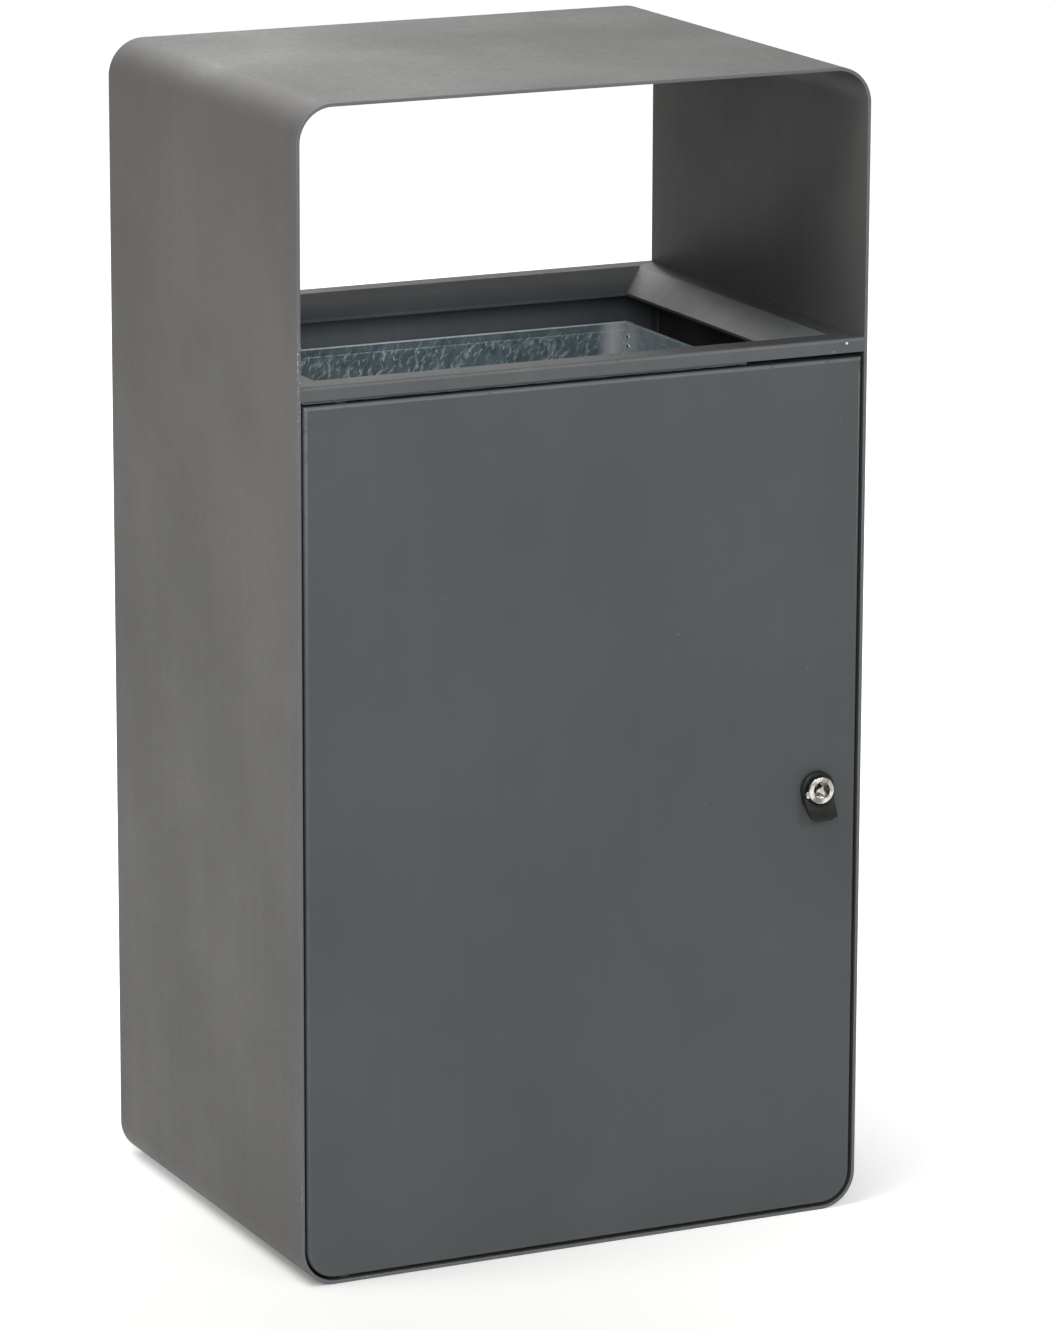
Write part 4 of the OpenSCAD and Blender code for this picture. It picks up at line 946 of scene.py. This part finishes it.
linerRivets = joined("linerRivets", [
    rivetRow("seamRivets", thinPlaces, rivetSizes["seamGrip"], "rivetMetal"),
    rivetRow("handleRivets", handlePlaces, rivetSizes["handleGrip"], "rivetMetal")])
seat(linerRivets, "liner", "rivetMetal", "liner_rivets")
print("rivets: %d" % (len(apronPlaces) + len(thinPlaces) + len(handlePlaces)))


# Floor, backdrop, lamps and camera
studio = {"floorRadius": 22.0, "floorDrop": 0.0001, "floorColour": seen(229, 229, 227),
          "floorGrain": seen(221, 221, 219), "grainScale": 60.0, "grainShare": 0.15, "nearGlow": 0.03,
          "farGlow": 0.98, "glowFrom": 0.55, "glowTo": 1.95, "glowCentre": (-0.8, -0.7, 0.0), "mirrored": 0.4,
          "worldMirrored": 0.25}


# Light that the camera sees in full and glossy paint in part
def seenBy(tree, mirrored):
    rays = add(tree, "ShaderNodeLightPath").outputs
    glossy = times(tree, rays["Is Glossy Ray"], mirrored)
    return calc(tree, "MAXIMUM", rays["Is Camera Ray"], calc(tree, "MAXIMUM", glossy, rays["Is Transmission Ray"]))


def studioFloor():
    shape = bmesh.new()
    bmesh.ops.create_circle(shape, cap_ends=True, segments=64, radius=studio["floorRadius"])
    floor = newPiece("studioFloor", meshFrom(shape, "studioFloor"))
    floor.location.z = -studio["floorDrop"]
    material = bpy.data.materials.new("paleFloor")
    material.use_nodes = True
    tree = material.node_tree
    tree.nodes.clear()
    place = add(tree, "ShaderNodeTexCoord").outputs["Object"]
    grain = times(tree, noise(tree, place, studio["grainScale"], 3.0), studio["grainShare"])
    tone = mixed(tree, grain, studio["floorColour"], studio["floorGrain"])
    surface = add(tree, "ShaderNodeBsdfPrincipled", {"Base Color": tone, "Roughness": 0.7,
                                                     "Specular IOR Level": 0.2})
    away = distance(tree, place, studio["glowCentre"])
    glow = remap(tree, away, studio["glowFrom"], studio["glowTo"], studio["nearGlow"], studio["farGlow"])
    shown = times(tree, glow, seenBy(tree, studio["mirrored"]))
    light = add(tree, "ShaderNodeEmission", {"Color": (1, 1, 1, 1), "Strength": shown})
    both = add(tree, "ShaderNodeAddShader", {0: surface.outputs[0], 1: light.outputs[0]})
    add(tree, "ShaderNodeOutputMaterial", {"Surface": both.outputs[0]})
    tidyTree(tree)
    floor.data.materials.append(material)


def studioWorld():
    world = bpy.data.worlds.new("studioWorld")
    world.use_nodes = True
    bpy.context.scene.world = world
    tree = world.node_tree
    tree.nodes.clear()
    shown = seenBy(tree, studio["worldMirrored"])
    light = add(tree, "ShaderNodeBackground", {"Color": (1, 1, 1, 1), "Strength": shown})
    add(tree, "ShaderNodeOutputWorld", {"Surface": light.outputs[0]})
    tidyTree(tree)


softBoxes = {
    # name: position, aim, width, height, watts, colour
    "overheadBox": ((-1.45, -0.5, 3.5), (0, -0.15, 0.7), 2.2, 2.1, 110, (1.0, 0.99, 0.975)),
    "leftBox": ((-3.2, -0.2, 2.1), (0, 0, 0.8), 2.4, 1.4, 42, (1.0, 0.985, 0.985)),
    "cameraBox": ((-1.6, -3.8, 2.2), (0, 0, 0.5), 1.8, 1.4, 64, (0.98, 0.99, 1.0)),
    "frontBox": ((1.4, -3.8, 2.1), (0, 0, 0.5), 2.2, 1.6, 52, (0.96, 0.98, 1.0)),
    "backBox": ((0.3, 4.2, 2.8), (0, 0, 0.7), 3.0, 2.2, 50, (1.0, 1.0, 0.98)),
    "rightBox": ((3.4, -0.5, 1.5), (0, 0, 0.5), 2.2, 1.8, 14, (1.0, 1.0, 0.99)),
    "rearRightBox": ((2.0, 4.0, 2.2), (0, 0, 0.8), 4.0, 2.2, 21, (1.0, 1.0, 0.98)),
}


def softBox(name, place, aim, wide, high, watts, colour):
    lamp = bpy.data.lights.new(name, "AREA")
    lamp.shape = "RECTANGLE"
    lamp.size, lamp.size_y = wide, high
    lamp.energy = watts
    lamp.color = colour
    holder = newPiece(name, lamp)
    holder.location = place
    holder.rotation_mode = "QUATERNION"
    holder.rotation_quaternion = (Vector(aim) - Vector(place)).to_track_quat("-Z", "Y")


# The photograph's own viewpoint, worked out from the bin's edges
viewpoint = {"place": (-2.35392, -4.97241, 1.82407), "yaw": 25.725, "pitch": 13.861, "roll": 0.203,
             "lens": 177.443}


def photoCamera():
    yaw, pitch, roll = (math.radians(viewpoint[k]) for k in ("yaw", "pitch", "roll"))
    ahead = Vector((math.sin(yaw) * math.cos(pitch), math.cos(yaw) * math.cos(pitch), -math.sin(pitch)))
    level = Vector((math.cos(yaw), -math.sin(yaw), 0))
    up = level.cross(ahead)
    right = math.cos(roll) * level + math.sin(roll) * up
    top = -math.sin(roll) * level + math.cos(roll) * up
    data = bpy.data.cameras.new("photoCamera")
    data.sensor_width = 36
    data.lens = viewpoint["lens"]
    camera = newPiece("photoCamera", data)
    turn = Matrix((right, top, -ahead)).transposed().to_4x4()
    camera.matrix_world = Matrix.Translation(viewpoint["place"]) @ turn
    bpy.context.scene.camera = camera


studioFloor()
studioWorld()
for name, settings in softBoxes.items():
    softBox(name, *settings)
photoCamera()
bpy.context.scene.view_settings.view_transform = "Standard"
print("studio: %d soft boxes" % len(softBoxes))
